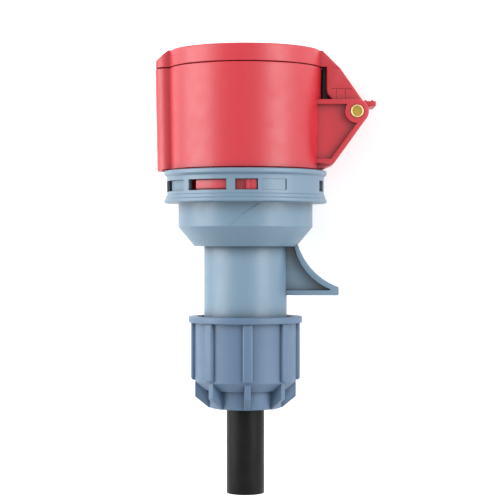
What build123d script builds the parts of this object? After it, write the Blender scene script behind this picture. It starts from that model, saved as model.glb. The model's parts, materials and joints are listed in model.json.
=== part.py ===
from build123d import *
import os
from math import asin, atan2, cos, degrees, hypot, radians, sin, sqrt, tan

# Five-pole cable connector for industrial three-phase supply: a red socket front with a sprung lid,
# a grey rear housing locked on by a bayonet ring, and a gland nut that grips the cable.
# The connector is drawn upright on its own axis: Z points out of the mouth and is zero where the red
# front meets the grey ring, X points to the hinge, and -Y is the front. All sizes are in millimetres.
# The last section lays the finished pieces on their side, as the connector rests on a table.

# Contact carrier, whose radius the plug's shroud sets, and its five sockets
insert_r = 25.5
insert_recess = 1.5
insert_edge = 0.6
insert_foot_step = 0.9
insert_flange_play = 0.3
insert_flange_t = 3.0
insert_tail_step = 1.5
insert_tail = 13.5
contact_inset = 8.0
phase_bore_r = 2.5
earth_bore_r = 3.5
contact_wall = 1.2
contact_setback = 2.8
contact_bore_depth = 27.0
contact_rear = 12.0
wire_hole_r = 1.35
wire_hole_depth = 10.0
screw_r = 1.5
screw_z = -7.5
screw_head_proud = 1.6
entry_play = 0.3
slide_play = 0.05

# Red collar around the shroud's room, and the keyway bulge down its far side from the hinge
shroud_room = 3.7
collar_wall = 3.35
collar_h = 43.3
collar_draft = 1.1
mouth_floor = 3.0
keyway_rise = 5.65
keyway_half_w = 6.5
keyway_corner = 3.0
keyway_wall = 2.0
keyway_floor_wall = 2.7
keyway_foot_drop = 0.7

# Red skirt that plugs into the grey ring
skirt_step = 1.55
skirt_wall = 2.3
skirt_depth = 11.0

# Hinge: pin, bracket on the collar, arm and thumb tab on the lid
pin_reach = 14.15
pin_z = 24.1
pin_r = 2.0
pin_head_r = 2.75
pin_head_t = 0.7
pin_head_sunk = 0.5
pin_recess_r = 1.7
pin_recess_depth = 2.5
boss_r = 5.0
bracket_half_w = 12.0
bracket_root = 12.0
bracket_web_out = 9.9
bracket_web_in = 8.4
bracket_flange_t = 1.9
bracket_rib_t = 1.7
bracket_toe = 4.35
bracket_foot_z = 2.0
tab_clear_r = 8.1
arm_side_gap = 0.3
arm_gap = 1.55
arm_wall = 1.8
arm_skin = 2.0
arm_foot_rise = 6.3
arm_foot_round = 3.0
arm_break_out = 7.45
arm_break_drop = 1.6
arm_fork_half_w = 2.7
hub_r = 3.9
tab_reach = 8.2
tab_rise = 4.5
tab_t = 2.2
tab_root_t = 3.3
tab_ramp = 3.6
ridge_r = 0.5

# Torsion spring around the pin
wire_r = 0.4
coil_gap = 0.5
coil_pitch = 1.1
coil_whole_turns = 3
spring_lid_leg = 9.0
spring_lid_angle = 123.0
spring_wall_angle = 205.0

# Lid and its seal
lid_inset = 0.15
lid_h = 6.5
lid_wall = 1.4
lid_top_t = 2.6
lid_edge = 0.8
lid_slope_drop = 3.9
seam_gap = 0.6
seal_w = 2.6
seal_t = 3.0
seal_gap = 0.05

# Grey ring and rear housing
ring_gap = 0.2
ring_wall_play = 0.3
ring_seal_t = 1.2
band_wall = 2.0
flange_rise = 1.2
upper_flange_t = 2.6
lower_flange_t = 1.5
band_step_h = 2.2
band_step = 0.5
ledge_cover = 0.3
body_step = 2.8
body_h = 10.3
cone_inset = 6.9
cone_h = 8.2
housing_wall = 2.5
window_top_z = -4.6
window_h = 4.5

# Ring windows and what shows in them: start and end angles from the front, positive towards the hinge
slot_window = (-84.0, -70.7)
shallow_window = (-70.7, -52.4)
shallow_depth = 1.0
rib_window = (-45.2, -14.1)
rib_in_window = (-40.5, -14.6)
latch_window = (-7.4, 8.7)
latch_in_window = (0.4, 8.2)
release_panel = (12.3, 31.1)
release_panel_depth = 0.25
release_slit_deg = 1.3
side_window = (69.0, 78.8)
rib_proud = 1.4
latch_proud = 1.9
latch_groove = (3.4, 4.4)

# Neck, and the hook beside it, whose outer edge and recess are arcs set out from the cone's foot
neck_r = 17.55
neck_wall = 2.95
neck_h = 47.5
hook_reach = 17.8
hook_h = 20.6
hook_plate_t = 2.1
hook_half_w = 4.5
hook_web_half_t = 0.8
hook_arc_out = 27.14
hook_arc_rise = 8.9
hook_arc_r = 27.7
hook_recess_out = 41.35
hook_recess_rise = 16.5
hook_recess_r = 44.8

# Gland nut
thread_play = 0.2
nut_overlap = 18.0
nut_h = 38.8
nut_wall = 3.75
nut_rim_rise = 2.6
nut_rim_h = 2.75
nut_mouth_step = 2.05
nut_mouth_depth = 3.0
nut_bevel = 4.0
nut_bevel_h = 3.6
nut_hub_wall = 6.1
nut_hub_h = 7.8
nut_exit_play = 1.2
nut_exit_h = 5.0
nut_cone_step = 1.4
nut_rib_count = 8
nut_rib_angle = 2.7
nut_rib_rise = 1.6
nut_rib_w = 4.1
nut_rib_stop = 0.3
nut_fin_inset = 0.1
nut_fin_w = 2.5
nut_fin_knee = 3.05
nut_fin_foot = 0.3

# Cable, seal and strain relief inside the gland
cable_r = 8.0
cable_squeeze = 0.3
cable_stub = 36.3
sheath_lap = 22.0
core_r = 1.75
core_bore_r = 1.1
core_play = 0.05
fan_lead = 7.0
fan_rise = 23.5
fan_bend_r = 9.0
conductor_r = 1.0
gland_seal_h = 13.25
collet_gap = 0.5
collet_flange_t = 2.0
collet_nose = 1.2
collet_end_play = 0.8
collet_play = 0.25
collet_slots = 8
collet_slot_w = 1.2
collet_cone_inset = 1.0
washer_t = 0.6

# Radii of the front, worked outwards from the carrier
mouth_r = insert_r + shroud_room
collar_r = mouth_r + collar_wall
keyway_reach = collar_r + keyway_rise
skirt_r = collar_r - skirt_step
insert_foot_r = insert_r + insert_foot_step
insert_flange_r = skirt_r - skirt_wall - insert_flange_play
insert_tail_r = insert_r - insert_tail_step
contact_circle_r = insert_r - contact_inset
lid_r = collar_r - lid_inset
lid_keyway_reach = keyway_reach - lid_inset

# Places of the lid and of its hinge
insert_face_z = collar_h - insert_recess
lid_foot_z = collar_h + seam_gap
lid_top_z = lid_foot_z + lid_h
pin_x = collar_r + pin_reach
pin_centre = (pin_x, pin_z)
bracket_top_z = pin_z + boss_r
bracket_root_x = mouth_r - bracket_root
bracket_toe_x = collar_r + bracket_toe
arm_half_w = bracket_web_in - arm_side_gap
arm_gap_x = collar_r + arm_gap
arm_foot_z = pin_z + arm_foot_rise
arm_break_x = collar_r + arm_break_out
arm_break_z = lid_foot_z - arm_break_drop
tab_root_x = pin_x + pin_r + 0.6
tab_tip_x = pin_x + tab_reach
tab_top_z = pin_z + tab_rise
coil_r = pin_r + coil_gap + wire_r

# Ring, body, cone and neck, worked down from the skirt
ring_bore_r = skirt_r + ring_wall_play
band_r = ring_bore_r + band_wall
flange_r = band_r + flange_rise
body_r = ring_bore_r - body_step
cone_foot_r = body_r - cone_inset
neck_bore_r = neck_r - neck_wall
ledge_z = -skirt_depth - ring_seal_t
band_foot_z = ledge_z - ledge_cover
band_step_z = band_foot_z + band_step_h
body_foot_z = band_foot_z - lower_flange_t - body_h
cone_foot_z = body_foot_z - cone_h
neck_foot_z = cone_foot_z - neck_h
window_foot_z = window_top_z - window_h
hook_tip_x = cone_foot_r + hook_reach
hook_foot_z = cone_foot_z - hook_h
hook_arc_centre = (cone_foot_r + hook_arc_out, cone_foot_z + hook_arc_rise)
hook_recess_centre = (cone_foot_r + hook_recess_out, cone_foot_z + hook_recess_rise)

# Gland nut and what it presses together, worked from the neck's foot
collet_top_z = neck_foot_z - collet_gap
collet_foot_z = collet_top_z - collet_flange_t
nut_shoulder_z = collet_foot_z - 2 * slide_play - washer_t
nut_top_z = neck_foot_z + nut_overlap
nut_foot_z = nut_top_z - nut_h
nut_bevel_foot_z = nut_foot_z + nut_hub_h
nut_panel_foot_z = nut_bevel_foot_z + nut_bevel_h
nut_bore_r = neck_r + thread_play
nut_mouth_r = nut_bore_r + nut_mouth_step
nut_panel_r = nut_bore_r + nut_wall
nut_rim_r = nut_panel_r + nut_rim_rise
nut_bevel_r = nut_panel_r - nut_bevel
nut_exit_r = cable_r + nut_exit_play
nut_cone_r = nut_exit_r + nut_cone_step
nut_hub_r = nut_exit_r + nut_hub_wall
cone_top_r = neck_bore_r - collet_cone_inset
collet_finger_foot_z = nut_foot_z + nut_exit_h + collet_end_play
cable_end_z = nut_foot_z - cable_stub
sheath_top_z = neck_foot_z + sheath_lap
gripped_r = cable_r - cable_squeeze
core_circle_r = (core_r + core_play) / sin(radians(36))


def keyed_outline(radius, reach, half_width, corner):
    """Plan outline of the collar family: a circle with a rounded key that reaches towards -X."""
    with BuildSketch(mode=Mode.PRIVATE) as outline:
        Circle(radius)
        Rectangle(reach, 2 * half_width, align=(Align.MAX, Align.CENTER))
        fillet(outline.vertices().group_by(Axis.X)[0], corner)
    return outline.sketch


def ring_segment(inner_r, outer_r, start, end):
    """Plan outline of a piece of a ring, between two angles from the front."""
    with BuildSketch(mode=Mode.PRIVATE) as segment:
        with BuildLine():
            outer = CenterArc((0, 0), outer_r, start - 90, end - start)
            inner = CenterArc((0, 0), inner_r, start - 90, end - start)
            Line(outer @ 0, inner @ 0)
            Line(outer @ 1, inner @ 1)
        make_face()
    return segment.sketch


def side_hull(points, centre, radius):
    """Side outline that wraps a run of points and a round end."""
    with BuildSketch(mode=Mode.PRIVATE) as outline:
        with BuildLine():
            Polyline(*points)
            CenterArc(centre, radius, 0, 360)
        make_hull()
    return outline.sketch


# Bracket outline, and the room between its cheeks where the arm and its tab swing
bracket_outline = side_hull(
    [
        (bracket_root_x, bracket_top_z),
        (bracket_root_x, bracket_foot_z),
        (bracket_toe_x, bracket_foot_z),
    ],
    pin_centre,
    boss_r,
)
with BuildSketch() as bracket_room:
    add(bracket_outline)
    offset(amount=-bracket_rib_t, mode=Mode.REPLACE)
    with Locations(pin_centre):
        Circle(tab_clear_r)
    with Locations((pin_x, pin_z)):
        Rectangle(2 * tab_clear_r, 2 * tab_clear_r, align=(Align.CENTER, Align.MIN))
    with Locations((mouth_r, pin_z)):
        Rectangle(pin_x - mouth_r, 2 * tab_clear_r, align=(Align.MIN, Align.MIN))
with BuildSketch() as bracket_recess:
    add(bracket_outline)
    offset(amount=-bracket_flange_t, mode=Mode.REPLACE)
    with Locations(pin_centre):
        Circle(boss_r, mode=Mode.SUBTRACT)

with BuildPart() as front_housing:
    # Hinge bracket: two cheeks with flanged edges and a boss, joined by a sloping rib behind
    with BuildSketch(Plane.XZ):
        add(bracket_outline)
    extrude(amount=bracket_half_w, both=True)
    for face in (Plane.XZ.offset(bracket_web_out), Plane.XZ.offset(-bracket_half_w)):
        with BuildSketch(face):
            add(bracket_recess.sketch)
        extrude(amount=bracket_half_w - bracket_web_out, mode=Mode.SUBTRACT)
    with BuildSketch(Plane.XZ):
        add(bracket_room.sketch)
    extrude(amount=bracket_web_in, both=True, mode=Mode.SUBTRACT)
    with BuildSketch(Plane.XZ):
        Polygon(
            (bracket_root_x, 0),
            (skirt_r + 1, 0),
            (bracket_toe_x, bracket_foot_z),
            (bracket_toe_x, bracket_foot_z + bracket_rib_t),
            (bracket_root_x, bracket_foot_z + bracket_rib_t),
            align=None,
        )
    extrude(amount=bracket_web_out, both=True)
    # Collar with its keyway bulge, drafted towards the ring
    with BuildSketch(Plane.XY.offset(collar_h)):
        add(keyed_outline(collar_r, keyway_reach, keyway_half_w, keyway_corner))
    extrude(amount=-collar_h, taper=collar_draft)
    # Foot of the bulge, which hangs a little over the ring's edge
    with BuildSketch(Plane.XY):
        add(
            keyed_outline(
                flange_r,
                keyway_reach - collar_h * tan(radians(collar_draft)),
                keyway_half_w - collar_h * tan(radians(collar_draft)),
                keyway_corner,
            )
        )
        Circle(flange_r + ring_wall_play, mode=Mode.SUBTRACT)
    extrude(amount=-keyway_foot_drop)
    # Skirt below the collar
    with BuildSketch(Plane.XY):
        Circle(skirt_r)
    extrude(amount=-skirt_depth)
    # Mouth for the plug's shroud, with the keyway slot
    with BuildSketch(Plane.XY.offset(collar_h)):
        add(
            keyed_outline(
                mouth_r,
                keyway_reach - keyway_floor_wall,
                keyway_half_w - keyway_wall,
                keyway_corner - keyway_wall,
            )
        )
    extrude(amount=mouth_floor - collar_h, mode=Mode.SUBTRACT)
    # Bore that carries the contact insert, and the hollow of the skirt
    with BuildSketch(Plane.XY.offset(mouth_floor)):
        Circle(insert_foot_r + slide_play)
    extrude(amount=-mouth_floor, mode=Mode.SUBTRACT)
    with BuildSketch(Plane.XY):
        Circle(skirt_r - skirt_wall)
    extrude(amount=-skirt_depth, mode=Mode.SUBTRACT)
    # Bayonet ribs and the latch nub, which sit in the ring's windows
    for start, end, proud in (
        (*rib_in_window, rib_proud),
        (rib_in_window[0] + 180, rib_in_window[1] + 180, rib_proud),
        (*latch_in_window, latch_proud),
    ):
        with BuildSketch(Plane.XY.offset(window_foot_z + slide_play)):
            add(ring_segment(skirt_r - 1, skirt_r + proud, start, end))
        extrude(amount=window_top_z - window_foot_z - 2 * slide_play)
    with BuildSketch(Plane.XY.offset(window_foot_z)):
        add(ring_segment(skirt_r + latch_proud - 0.4, skirt_r + 4, *latch_groove))
    extrude(amount=window_top_z - window_foot_z, mode=Mode.SUBTRACT)
    # Pin holes and the sinkings for its heads
    with BuildSketch(Plane.XZ):
        with Locations(pin_centre):
            Circle(pin_r + slide_play)
    extrude(amount=bracket_half_w, both=True, mode=Mode.SUBTRACT)
    for face in (
        Plane.XZ.offset(bracket_half_w - pin_head_sunk),
        Plane.XZ.offset(-bracket_half_w),
    ):
        with BuildSketch(face):
            with Locations(pin_centre):
                Circle(pin_head_r + 2 * slide_play)
        extrude(amount=pin_head_sunk, mode=Mode.SUBTRACT)
front_housing.part.label = "front_housing"

# Hollow rivet that the lid turns on
with BuildPart() as hinge_pin:
    head_y = bracket_half_w - pin_head_sunk + slide_play
    with BuildSketch(Plane.XZ):
        with Locations(pin_centre):
            Circle(pin_r)
    extrude(amount=head_y, both=True)
    for side in (1, -1):
        with BuildSketch(Plane.XZ.offset(side * head_y)):
            with Locations(pin_centre):
                Circle(pin_head_r)
        extrude(amount=side * pin_head_t, taper=12)
        with BuildSketch(Plane.XZ.offset(side * (head_y + pin_head_t))):
            with Locations(pin_centre):
                Circle(pin_recess_r)
        extrude(amount=-side * pin_recess_depth, mode=Mode.SUBTRACT)
hinge_pin.part.label = "hinge_pin"

# Lid: a shallow cap over collar and keyway, with a hollow arm down to the pin and a thumb tab
arm_shape = side_hull(
    [
        (arm_gap_x, lid_foot_z),
        (arm_gap_x, arm_foot_z + arm_foot_round),
        (arm_gap_x + 0.4 * arm_foot_round, arm_foot_z),
        (arm_break_x, arm_break_z),
    ],
    pin_centre,
    hub_r,
)
with BuildSketch() as arm_outline:
    add(arm_shape)
    Polygon(
        (arm_gap_x, lid_foot_z),
        (arm_break_x, arm_break_z),
        (lid_r, lid_top_z - 0.3),
        (lid_r - 3, lid_top_z - lid_edge),
        (lid_r - 3, lid_foot_z),
        align=None,
    )
with BuildSketch() as arm_room:
    add(arm_shape)
    offset(amount=-arm_skin, mode=Mode.REPLACE)
    Polygon(
        (arm_gap_x, arm_break_z + arm_break_x - arm_gap_x - sqrt(2) * arm_skin),
        (arm_gap_x, lid_foot_z),
        (arm_gap_x - 1, lid_foot_z),
        (arm_gap_x - 1, pin_z - 2 * hub_r),
        (pin_x, pin_z - 2 * hub_r),
        (pin_x, pin_z),
        (arm_break_x - arm_skin, arm_break_z - 2 * arm_skin),
        (arm_break_x - 0.9 * arm_skin, arm_break_z - 0.7 * arm_skin),
        align=None,
    )

with BuildSketch() as tab_outline:
    with Locations((tab_root_x, tab_top_z - tab_t)):
        Rectangle(tab_tip_x - tab_root_x, tab_t, align=(Align.MIN, Align.MIN))
    fillet(tab_outline.vertices().group_by(Axis.X)[-1], 0.45 * tab_t)
    Polygon(
        (tab_root_x, tab_top_z - tab_t),
        (tab_root_x + tab_ramp, tab_top_z - tab_t),
        (tab_root_x, tab_top_z - tab_root_t),
        align=None,
    )
    with Locations((tab_tip_x - 1.6, tab_top_z), (tab_tip_x - 4.4, tab_top_z)):
        Circle(ridge_r)

with BuildPart() as lid:
    # Cap with a rounded top edge, sloping down over the keyway
    with BuildSketch(Plane.XY.offset(lid_foot_z)):
        add(keyed_outline(lid_r, lid_keyway_reach, keyway_half_w, keyway_corner))
    extrude(amount=lid_h)
    with BuildSketch(Plane.XZ):
        Polygon(
            (-lid_r, lid_top_z + 1),
            (-lid_r, lid_top_z),
            (-lid_keyway_reach, lid_top_z - lid_slope_drop),
            (-lid_keyway_reach - 1, lid_top_z - lid_slope_drop),
            (-lid_keyway_reach - 1, lid_top_z + 1),
            align=None,
        )
    extrude(amount=2 * keyway_half_w, both=True, mode=Mode.SUBTRACT)
    fillet(lid.faces().sort_by(Axis.Z)[-1].edges(), lid_edge)
    # Arm: side walls and an outer skin, open towards the collar
    with BuildSketch(Plane.XZ):
        add(arm_outline.sketch)
    extrude(amount=arm_half_w, both=True)
    with BuildSketch(Plane.XZ):
        add(arm_room.sketch)
    extrude(amount=arm_half_w - arm_wall, both=True, mode=Mode.SUBTRACT)
    # Hub halves on both sides of the spring
    for side in (1, -1):
        with BuildSketch(Plane.XZ.offset(side * arm_fork_half_w)):
            with Locations(pin_centre):
                Circle(hub_r)
        extrude(amount=side * (arm_half_w - arm_fork_half_w))
    # Thumb tab with two grip ridges
    with BuildSketch(Plane.XZ):
        add(tab_outline.sketch)
    extrude(amount=arm_half_w, both=True)
    # Room for the spring between the hub halves
    with BuildSketch(Plane.XZ):
        with Locations(pin_centre):
            Circle(coil_r + wire_r + coil_gap)
    extrude(amount=arm_fork_half_w, both=True, mode=Mode.SUBTRACT)
    # Seat of the seal, a deeper hollow inside it, and the pin's hole
    with BuildSketch(Plane.XY.offset(lid_foot_z)):
        add(keyed_outline(lid_r, lid_keyway_reach, keyway_half_w, keyway_corner))
        offset(amount=-lid_wall, mode=Mode.REPLACE)
    extrude(amount=collar_h + seal_t + 2 * seal_gap - lid_foot_z, mode=Mode.SUBTRACT)
    with BuildSketch(Plane.XY.offset(lid_foot_z)):
        Circle(lid_r - lid_wall - seal_w)
    extrude(amount=lid_h - lid_top_t, mode=Mode.SUBTRACT)
    with BuildSketch(Plane.XZ):
        with Locations(pin_centre):
            Circle(pin_r + slide_play)
    extrude(amount=arm_half_w, both=True, mode=Mode.SUBTRACT)
lid.part.label = "lid"

# Rubber ring in the lid, which closes on the collar's rim
with BuildPart() as lid_seal:
    with BuildSketch(Plane.XY.offset(collar_h + seal_gap)):
        add(keyed_outline(lid_r, lid_keyway_reach, keyway_half_w, keyway_corner))
        offset(amount=-lid_wall - seal_gap, mode=Mode.REPLACE)
    extrude(amount=seal_t)
    with BuildSketch(Plane.XY.offset(collar_h + seal_gap)):
        add(keyed_outline(lid_r, lid_keyway_reach, keyway_half_w, keyway_corner))
        offset(amount=-lid_wall - seal_w, mode=Mode.REPLACE)
    extrude(amount=seal_t, mode=Mode.SUBTRACT)
lid_seal.part.label = "lid_seal"

# Torsion spring: drawn on its own coil axis, then set on the pin with one leg up the arm
coil_turns = coil_whole_turns - (spring_lid_angle - spring_wall_angle + 180) / 360
coil_h = coil_turns * coil_pitch
with BuildPart() as spring_coil:
    with BuildLine() as coil_line:
        Helix(coil_pitch, coil_h, coil_r)
    with BuildSketch(Plane(origin=coil_line.line @ 0, z_dir=coil_line.line % 0)):
        Circle(wire_r)
    sweep(is_frenet=True)
    ends = spring_coil.faces().filter_by(GeomType.PLANE).sort_by(Axis.Z)
    extrude(ends[0], amount=spring_lid_leg)
    extrude(ends[-1], amount=(pin_x - collar_r - 2 * wire_r) / cos(radians(spring_wall_angle - 180)))
spring_seat = Plane(
    origin=(pin_x, coil_h / 2, pin_z),
    x_dir=(-sin(radians(spring_lid_angle)), 0, cos(radians(spring_lid_angle))),
    z_dir=(0, -1, 0),
)
with BuildPart() as hinge_spring:
    add(spring_seat.location * spring_coil.part)
hinge_spring.part.label = "hinge_spring"

# Contact carrier: a plain boss in the mouth, a flange behind the floor, and a tail with the terminals
contact_names = ("contact_l1", "contact_l2", "contact_pe", "contact_l3", "contact_n")
contact_angles = [180 + 72 * (place - 2) for place in range(len(contact_names))]
contact_bores = [earth_bore_r if name == "contact_pe" else phase_bore_r for name in contact_names]
contact_centres = [
    (contact_circle_r * cos(radians(turn)), contact_circle_r * sin(radians(turn)))
    for turn in contact_angles
]
contact_front_z = insert_face_z - contact_setback

with BuildPart() as socket_insert:
    with BuildSketch(Plane.XY.offset(insert_face_z)):
        Circle(insert_r)
    extrude(amount=-insert_face_z)
    chamfer(socket_insert.faces().sort_by(Axis.Z)[-1].edges(), insert_edge)
    with BuildSketch(Plane.XY.offset(mouth_floor)):
        Circle(insert_foot_r)
    extrude(amount=-mouth_floor - slide_play)
    with BuildSketch(Plane.XY.offset(-slide_play)):
        Circle(insert_flange_r)
    extrude(amount=-insert_flange_t)
    with BuildSketch(Plane.XY.offset(-slide_play - insert_flange_t)):
        Circle(insert_tail_r)
    extrude(amount=slide_play + insert_flange_t - insert_tail)
    for centre, turn, bore in zip(contact_centres, contact_angles, contact_bores):
        with BuildSketch(Plane.XY.offset(insert_face_z)):
            with Locations(centre):
                Circle(bore + entry_play)
        extrude(amount=-contact_setback, mode=Mode.SUBTRACT)
        with BuildSketch(Plane.XY.offset(contact_front_z)):
            with Locations(centre):
                Circle(bore + contact_wall + slide_play)
        extrude(amount=-contact_front_z - insert_tail, mode=Mode.SUBTRACT)
        with BuildSketch(Plane.XY.offset(-insert_tail)):
            with Locations(Location((0, 0, 0), turn)):
                with Locations((contact_circle_r, 0)):
                    Rectangle(
                        insert_tail_r - contact_circle_r + 1,
                        2 * (screw_r + 0.5),
                        align=(Align.MIN, Align.CENTER),
                    )
        extrude(amount=insert_tail - insert_flange_t - slide_play, mode=Mode.SUBTRACT)
socket_insert.part.label = "socket_insert"


def socket_contact(name, turn, centre, bore):
    """Turned brass socket: a bored front, and a rear barrel with a wire hole and a radial screw hole."""
    outward = (cos(radians(turn)), sin(radians(turn)), 0)
    with BuildPart() as contact:
        with BuildSketch(Plane.XY.offset(-contact_rear)):
            with Locations(centre):
                Circle(bore + contact_wall)
        extrude(amount=contact_rear + contact_front_z)
        with BuildSketch(Plane.XY.offset(contact_front_z)):
            with Locations(centre):
                Circle(bore)
        extrude(amount=-contact_bore_depth, mode=Mode.SUBTRACT)
        with BuildSketch(Plane.XY.offset(-contact_rear)):
            with Locations(centre):
                Circle(wire_hole_r)
        extrude(amount=wire_hole_depth, mode=Mode.SUBTRACT)
        with BuildSketch(Plane(origin=(*centre, screw_z), z_dir=outward)):
            Circle(screw_r + slide_play)
        extrude(amount=bore + contact_wall + 1, mode=Mode.SUBTRACT)
    contact.part.label = name
    return contact


contacts = [
    socket_contact(*row)
    for row in zip(contact_names, contact_angles, contact_centres, contact_bores)
]

# Terminal screws, one in each socket's barrel, pressing on the wire
with BuildPart() as terminal_screws:
    for centre, turn, bore in zip(contact_centres, contact_angles, contact_bores):
        outward = (cos(radians(turn)), sin(radians(turn)), 0)
        with BuildSketch(Plane(origin=(*centre, screw_z), z_dir=outward).offset(conductor_r + slide_play)):
            Circle(screw_r)
        extrude(amount=bore + contact_wall + screw_head_proud - conductor_r)
        with BuildSketch(
            Plane(origin=(*centre, screw_z), z_dir=outward).offset(
                bore + contact_wall + screw_head_proud - 0.7
            )
        ):
            Rectangle(4 * screw_r, 0.6)
        extrude(amount=2, mode=Mode.SUBTRACT)
terminal_screws.part.label = "terminal_screws"

# Rear housing: bayonet ring, body and cone. The neck and the hook are moulded on it.
with BuildPart() as rear_housing:
    with BuildSketch(Plane.XZ):
        with BuildLine():
            Polyline(
                (ring_bore_r, -ring_gap),
                (flange_r - 0.5, -ring_gap),
                (flange_r, -ring_gap - 0.7),
                (flange_r, -ring_gap - upper_flange_t + 0.9),
                (band_r, -ring_gap - upper_flange_t),
                (band_r, band_step_z),
                (band_r + band_step, band_step_z - 0.3),
                (band_r + band_step, band_foot_z + 0.4),
                (flange_r, band_foot_z),
                (flange_r, band_foot_z - lower_flange_t + 0.4),
                (flange_r - 0.5, band_foot_z - lower_flange_t),
                (body_r, band_foot_z - lower_flange_t),
                (body_r, body_foot_z),
                (cone_foot_r, cone_foot_z),
                (neck_bore_r, cone_foot_z),
                (neck_bore_r, cone_foot_z + housing_wall),
                (cone_foot_r - housing_wall, cone_foot_z + housing_wall),
                (body_r - housing_wall, body_foot_z + 0.4 * housing_wall),
                (body_r - housing_wall, ledge_z),
                (ring_bore_r, ledge_z),
                close=True,
            )
        make_face()
    revolve(axis=Axis.Z)
    # Windows right through the ring
    for start, end in (
        slot_window,
        rib_window,
        (rib_window[0] + 180, rib_window[1] + 180),
        latch_window,
        side_window,
    ):
        with BuildSketch(Plane.XY.offset(window_foot_z)):
            add(ring_segment(ring_bore_r - 1, flange_r + 1, start, end))
        extrude(amount=window_top_z - window_foot_z, mode=Mode.SUBTRACT)
    # Shallow window, and the thin release panel with its slit
    for span, depth in (
        (shallow_window, shallow_depth),
        (release_panel, release_panel_depth),
    ):
        with BuildSketch(Plane.XY.offset(window_foot_z)):
            add(ring_segment(band_r - depth, flange_r + 1, *span))
        extrude(amount=window_top_z - window_foot_z, mode=Mode.SUBTRACT)
    with BuildSketch(Plane.XY.offset(window_foot_z)):
        add(
            ring_segment(
                ring_bore_r - 1, flange_r + 1, release_panel[1] - release_slit_deg, release_panel[1]
            )
        )
    extrude(amount=window_top_z - window_foot_z, mode=Mode.SUBTRACT)
rear_housing.part.label = "rear_housing"

# Neck under the cone, a tube that the gland nut screws on to
with BuildPart() as cable_neck:
    with BuildSketch(Plane.XY.offset(cone_foot_z)):
        Circle(neck_r)
        Circle(neck_bore_r, mode=Mode.SUBTRACT)
    extrude(amount=neck_foot_z - cone_foot_z)
cable_neck.part.label = "cable_neck"

# Hook beside the neck: a curved flange and a foot plate, with a thin web between them
with BuildPart() as pull_hook:
    with BuildSketch(Plane.XZ):
        Polygon(
            (0, cone_foot_z),
            (hook_tip_x, cone_foot_z),
            (hook_tip_x, hook_foot_z),
            (0, hook_foot_z),
            align=None,
        )
        with Locations(hook_arc_centre):
            Circle(hook_arc_r, mode=Mode.SUBTRACT)
    extrude(amount=hook_half_w, both=True)
    for side in (1, -1):
        with BuildSketch(Plane.XZ.offset(side * hook_web_half_t)):
            Polygon(
                (0, cone_foot_z),
                (hook_tip_x, cone_foot_z),
                (hook_tip_x, hook_foot_z + hook_plate_t),
                (0, hook_foot_z + hook_plate_t),
                align=None,
            )
            with Locations(hook_recess_centre):
                Circle(hook_recess_r, mode=Mode.SUBTRACT)
        extrude(amount=side * (hook_half_w - hook_web_half_t), mode=Mode.SUBTRACT)
    with BuildSketch(Plane.XY.offset(cone_foot_z)):
        Circle(neck_r)
    extrude(amount=hook_foot_z - cone_foot_z, mode=Mode.SUBTRACT)
pull_hook.part.label = "pull_hook"

# Gasket between the skirt's foot and the ledge in the ring
with BuildPart() as ring_seal:
    with BuildSketch(Plane.XY.offset(ledge_z)):
        Circle(skirt_r)
        Circle(skirt_r - skirt_wall, mode=Mode.SUBTRACT)
    extrude(amount=ring_seal_t)
ring_seal.part.label = "ring_seal"

# Gland nut: a rim, eight ribs over a plain barrel, and a small hub with radial fins
rib_top_z = nut_top_z - nut_rim_h + 0.2
rib_foot_z = nut_panel_foot_z + nut_rib_stop
fin_r = nut_panel_r - nut_fin_inset
with BuildPart() as gland_nut:
    with BuildSketch(Plane.XZ):
        with BuildLine():
            Polyline(
                (nut_mouth_r, nut_top_z),
                (nut_rim_r - 0.5, nut_top_z),
                (nut_rim_r, nut_top_z - 0.5),
                (nut_rim_r, nut_top_z - nut_rim_h + 0.3),
                (nut_rim_r - 0.3, nut_top_z - nut_rim_h),
                (nut_panel_r, nut_top_z - nut_rim_h),
                (nut_panel_r, nut_panel_foot_z),
                (nut_bevel_r, nut_bevel_foot_z),
                (nut_hub_r, nut_bevel_foot_z),
                (nut_hub_r, nut_foot_z),
                (nut_exit_r, nut_foot_z),
                (nut_exit_r, nut_foot_z + nut_exit_h),
                (nut_cone_r, nut_foot_z + nut_exit_h),
                (cone_top_r, nut_shoulder_z),
                (nut_bore_r, nut_shoulder_z),
                (nut_bore_r, nut_top_z - nut_mouth_depth),
                (nut_mouth_r, nut_top_z - nut_mouth_depth),
                close=True,
            )
        make_face()
    revolve(axis=Axis.Z)
    for place in range(nut_rib_count):
        side = Plane.XZ.rotated((0, 0, nut_rib_angle - 90 + 360 * place / nut_rib_count))
        with BuildSketch(side):
            Polygon(
                (nut_panel_r - nut_rib_rise, rib_top_z),
                (nut_panel_r + nut_rib_rise, rib_top_z),
                (nut_panel_r + nut_rib_rise, rib_foot_z + nut_rib_rise),
                (nut_panel_r, rib_foot_z),
                (nut_panel_r - nut_rib_rise, rib_foot_z),
                align=None,
            )
        extrude(amount=nut_rib_w / 2, both=True)
        with BuildSketch(side):
            Polygon(
                (nut_hub_r - nut_fin_inset, rib_foot_z),
                (fin_r, rib_foot_z),
                (fin_r, nut_bevel_foot_z - nut_fin_knee),
                (nut_hub_r + nut_fin_foot, nut_foot_z),
                (nut_hub_r - nut_fin_inset, nut_foot_z),
                align=None,
            )
        extrude(amount=nut_fin_w / 2, both=True)
gland_nut.part.label = "gland_nut"

# Slip washer that the nut turns against
with BuildPart() as slip_washer:
    with BuildSketch(Plane.XY.offset(nut_shoulder_z + slide_play)):
        Circle(nut_bore_r - 2 * thread_play)
        Circle(cone_top_r + thread_play, mode=Mode.SUBTRACT)
    extrude(amount=washer_t)
slip_washer.part.label = "slip_washer"

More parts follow.
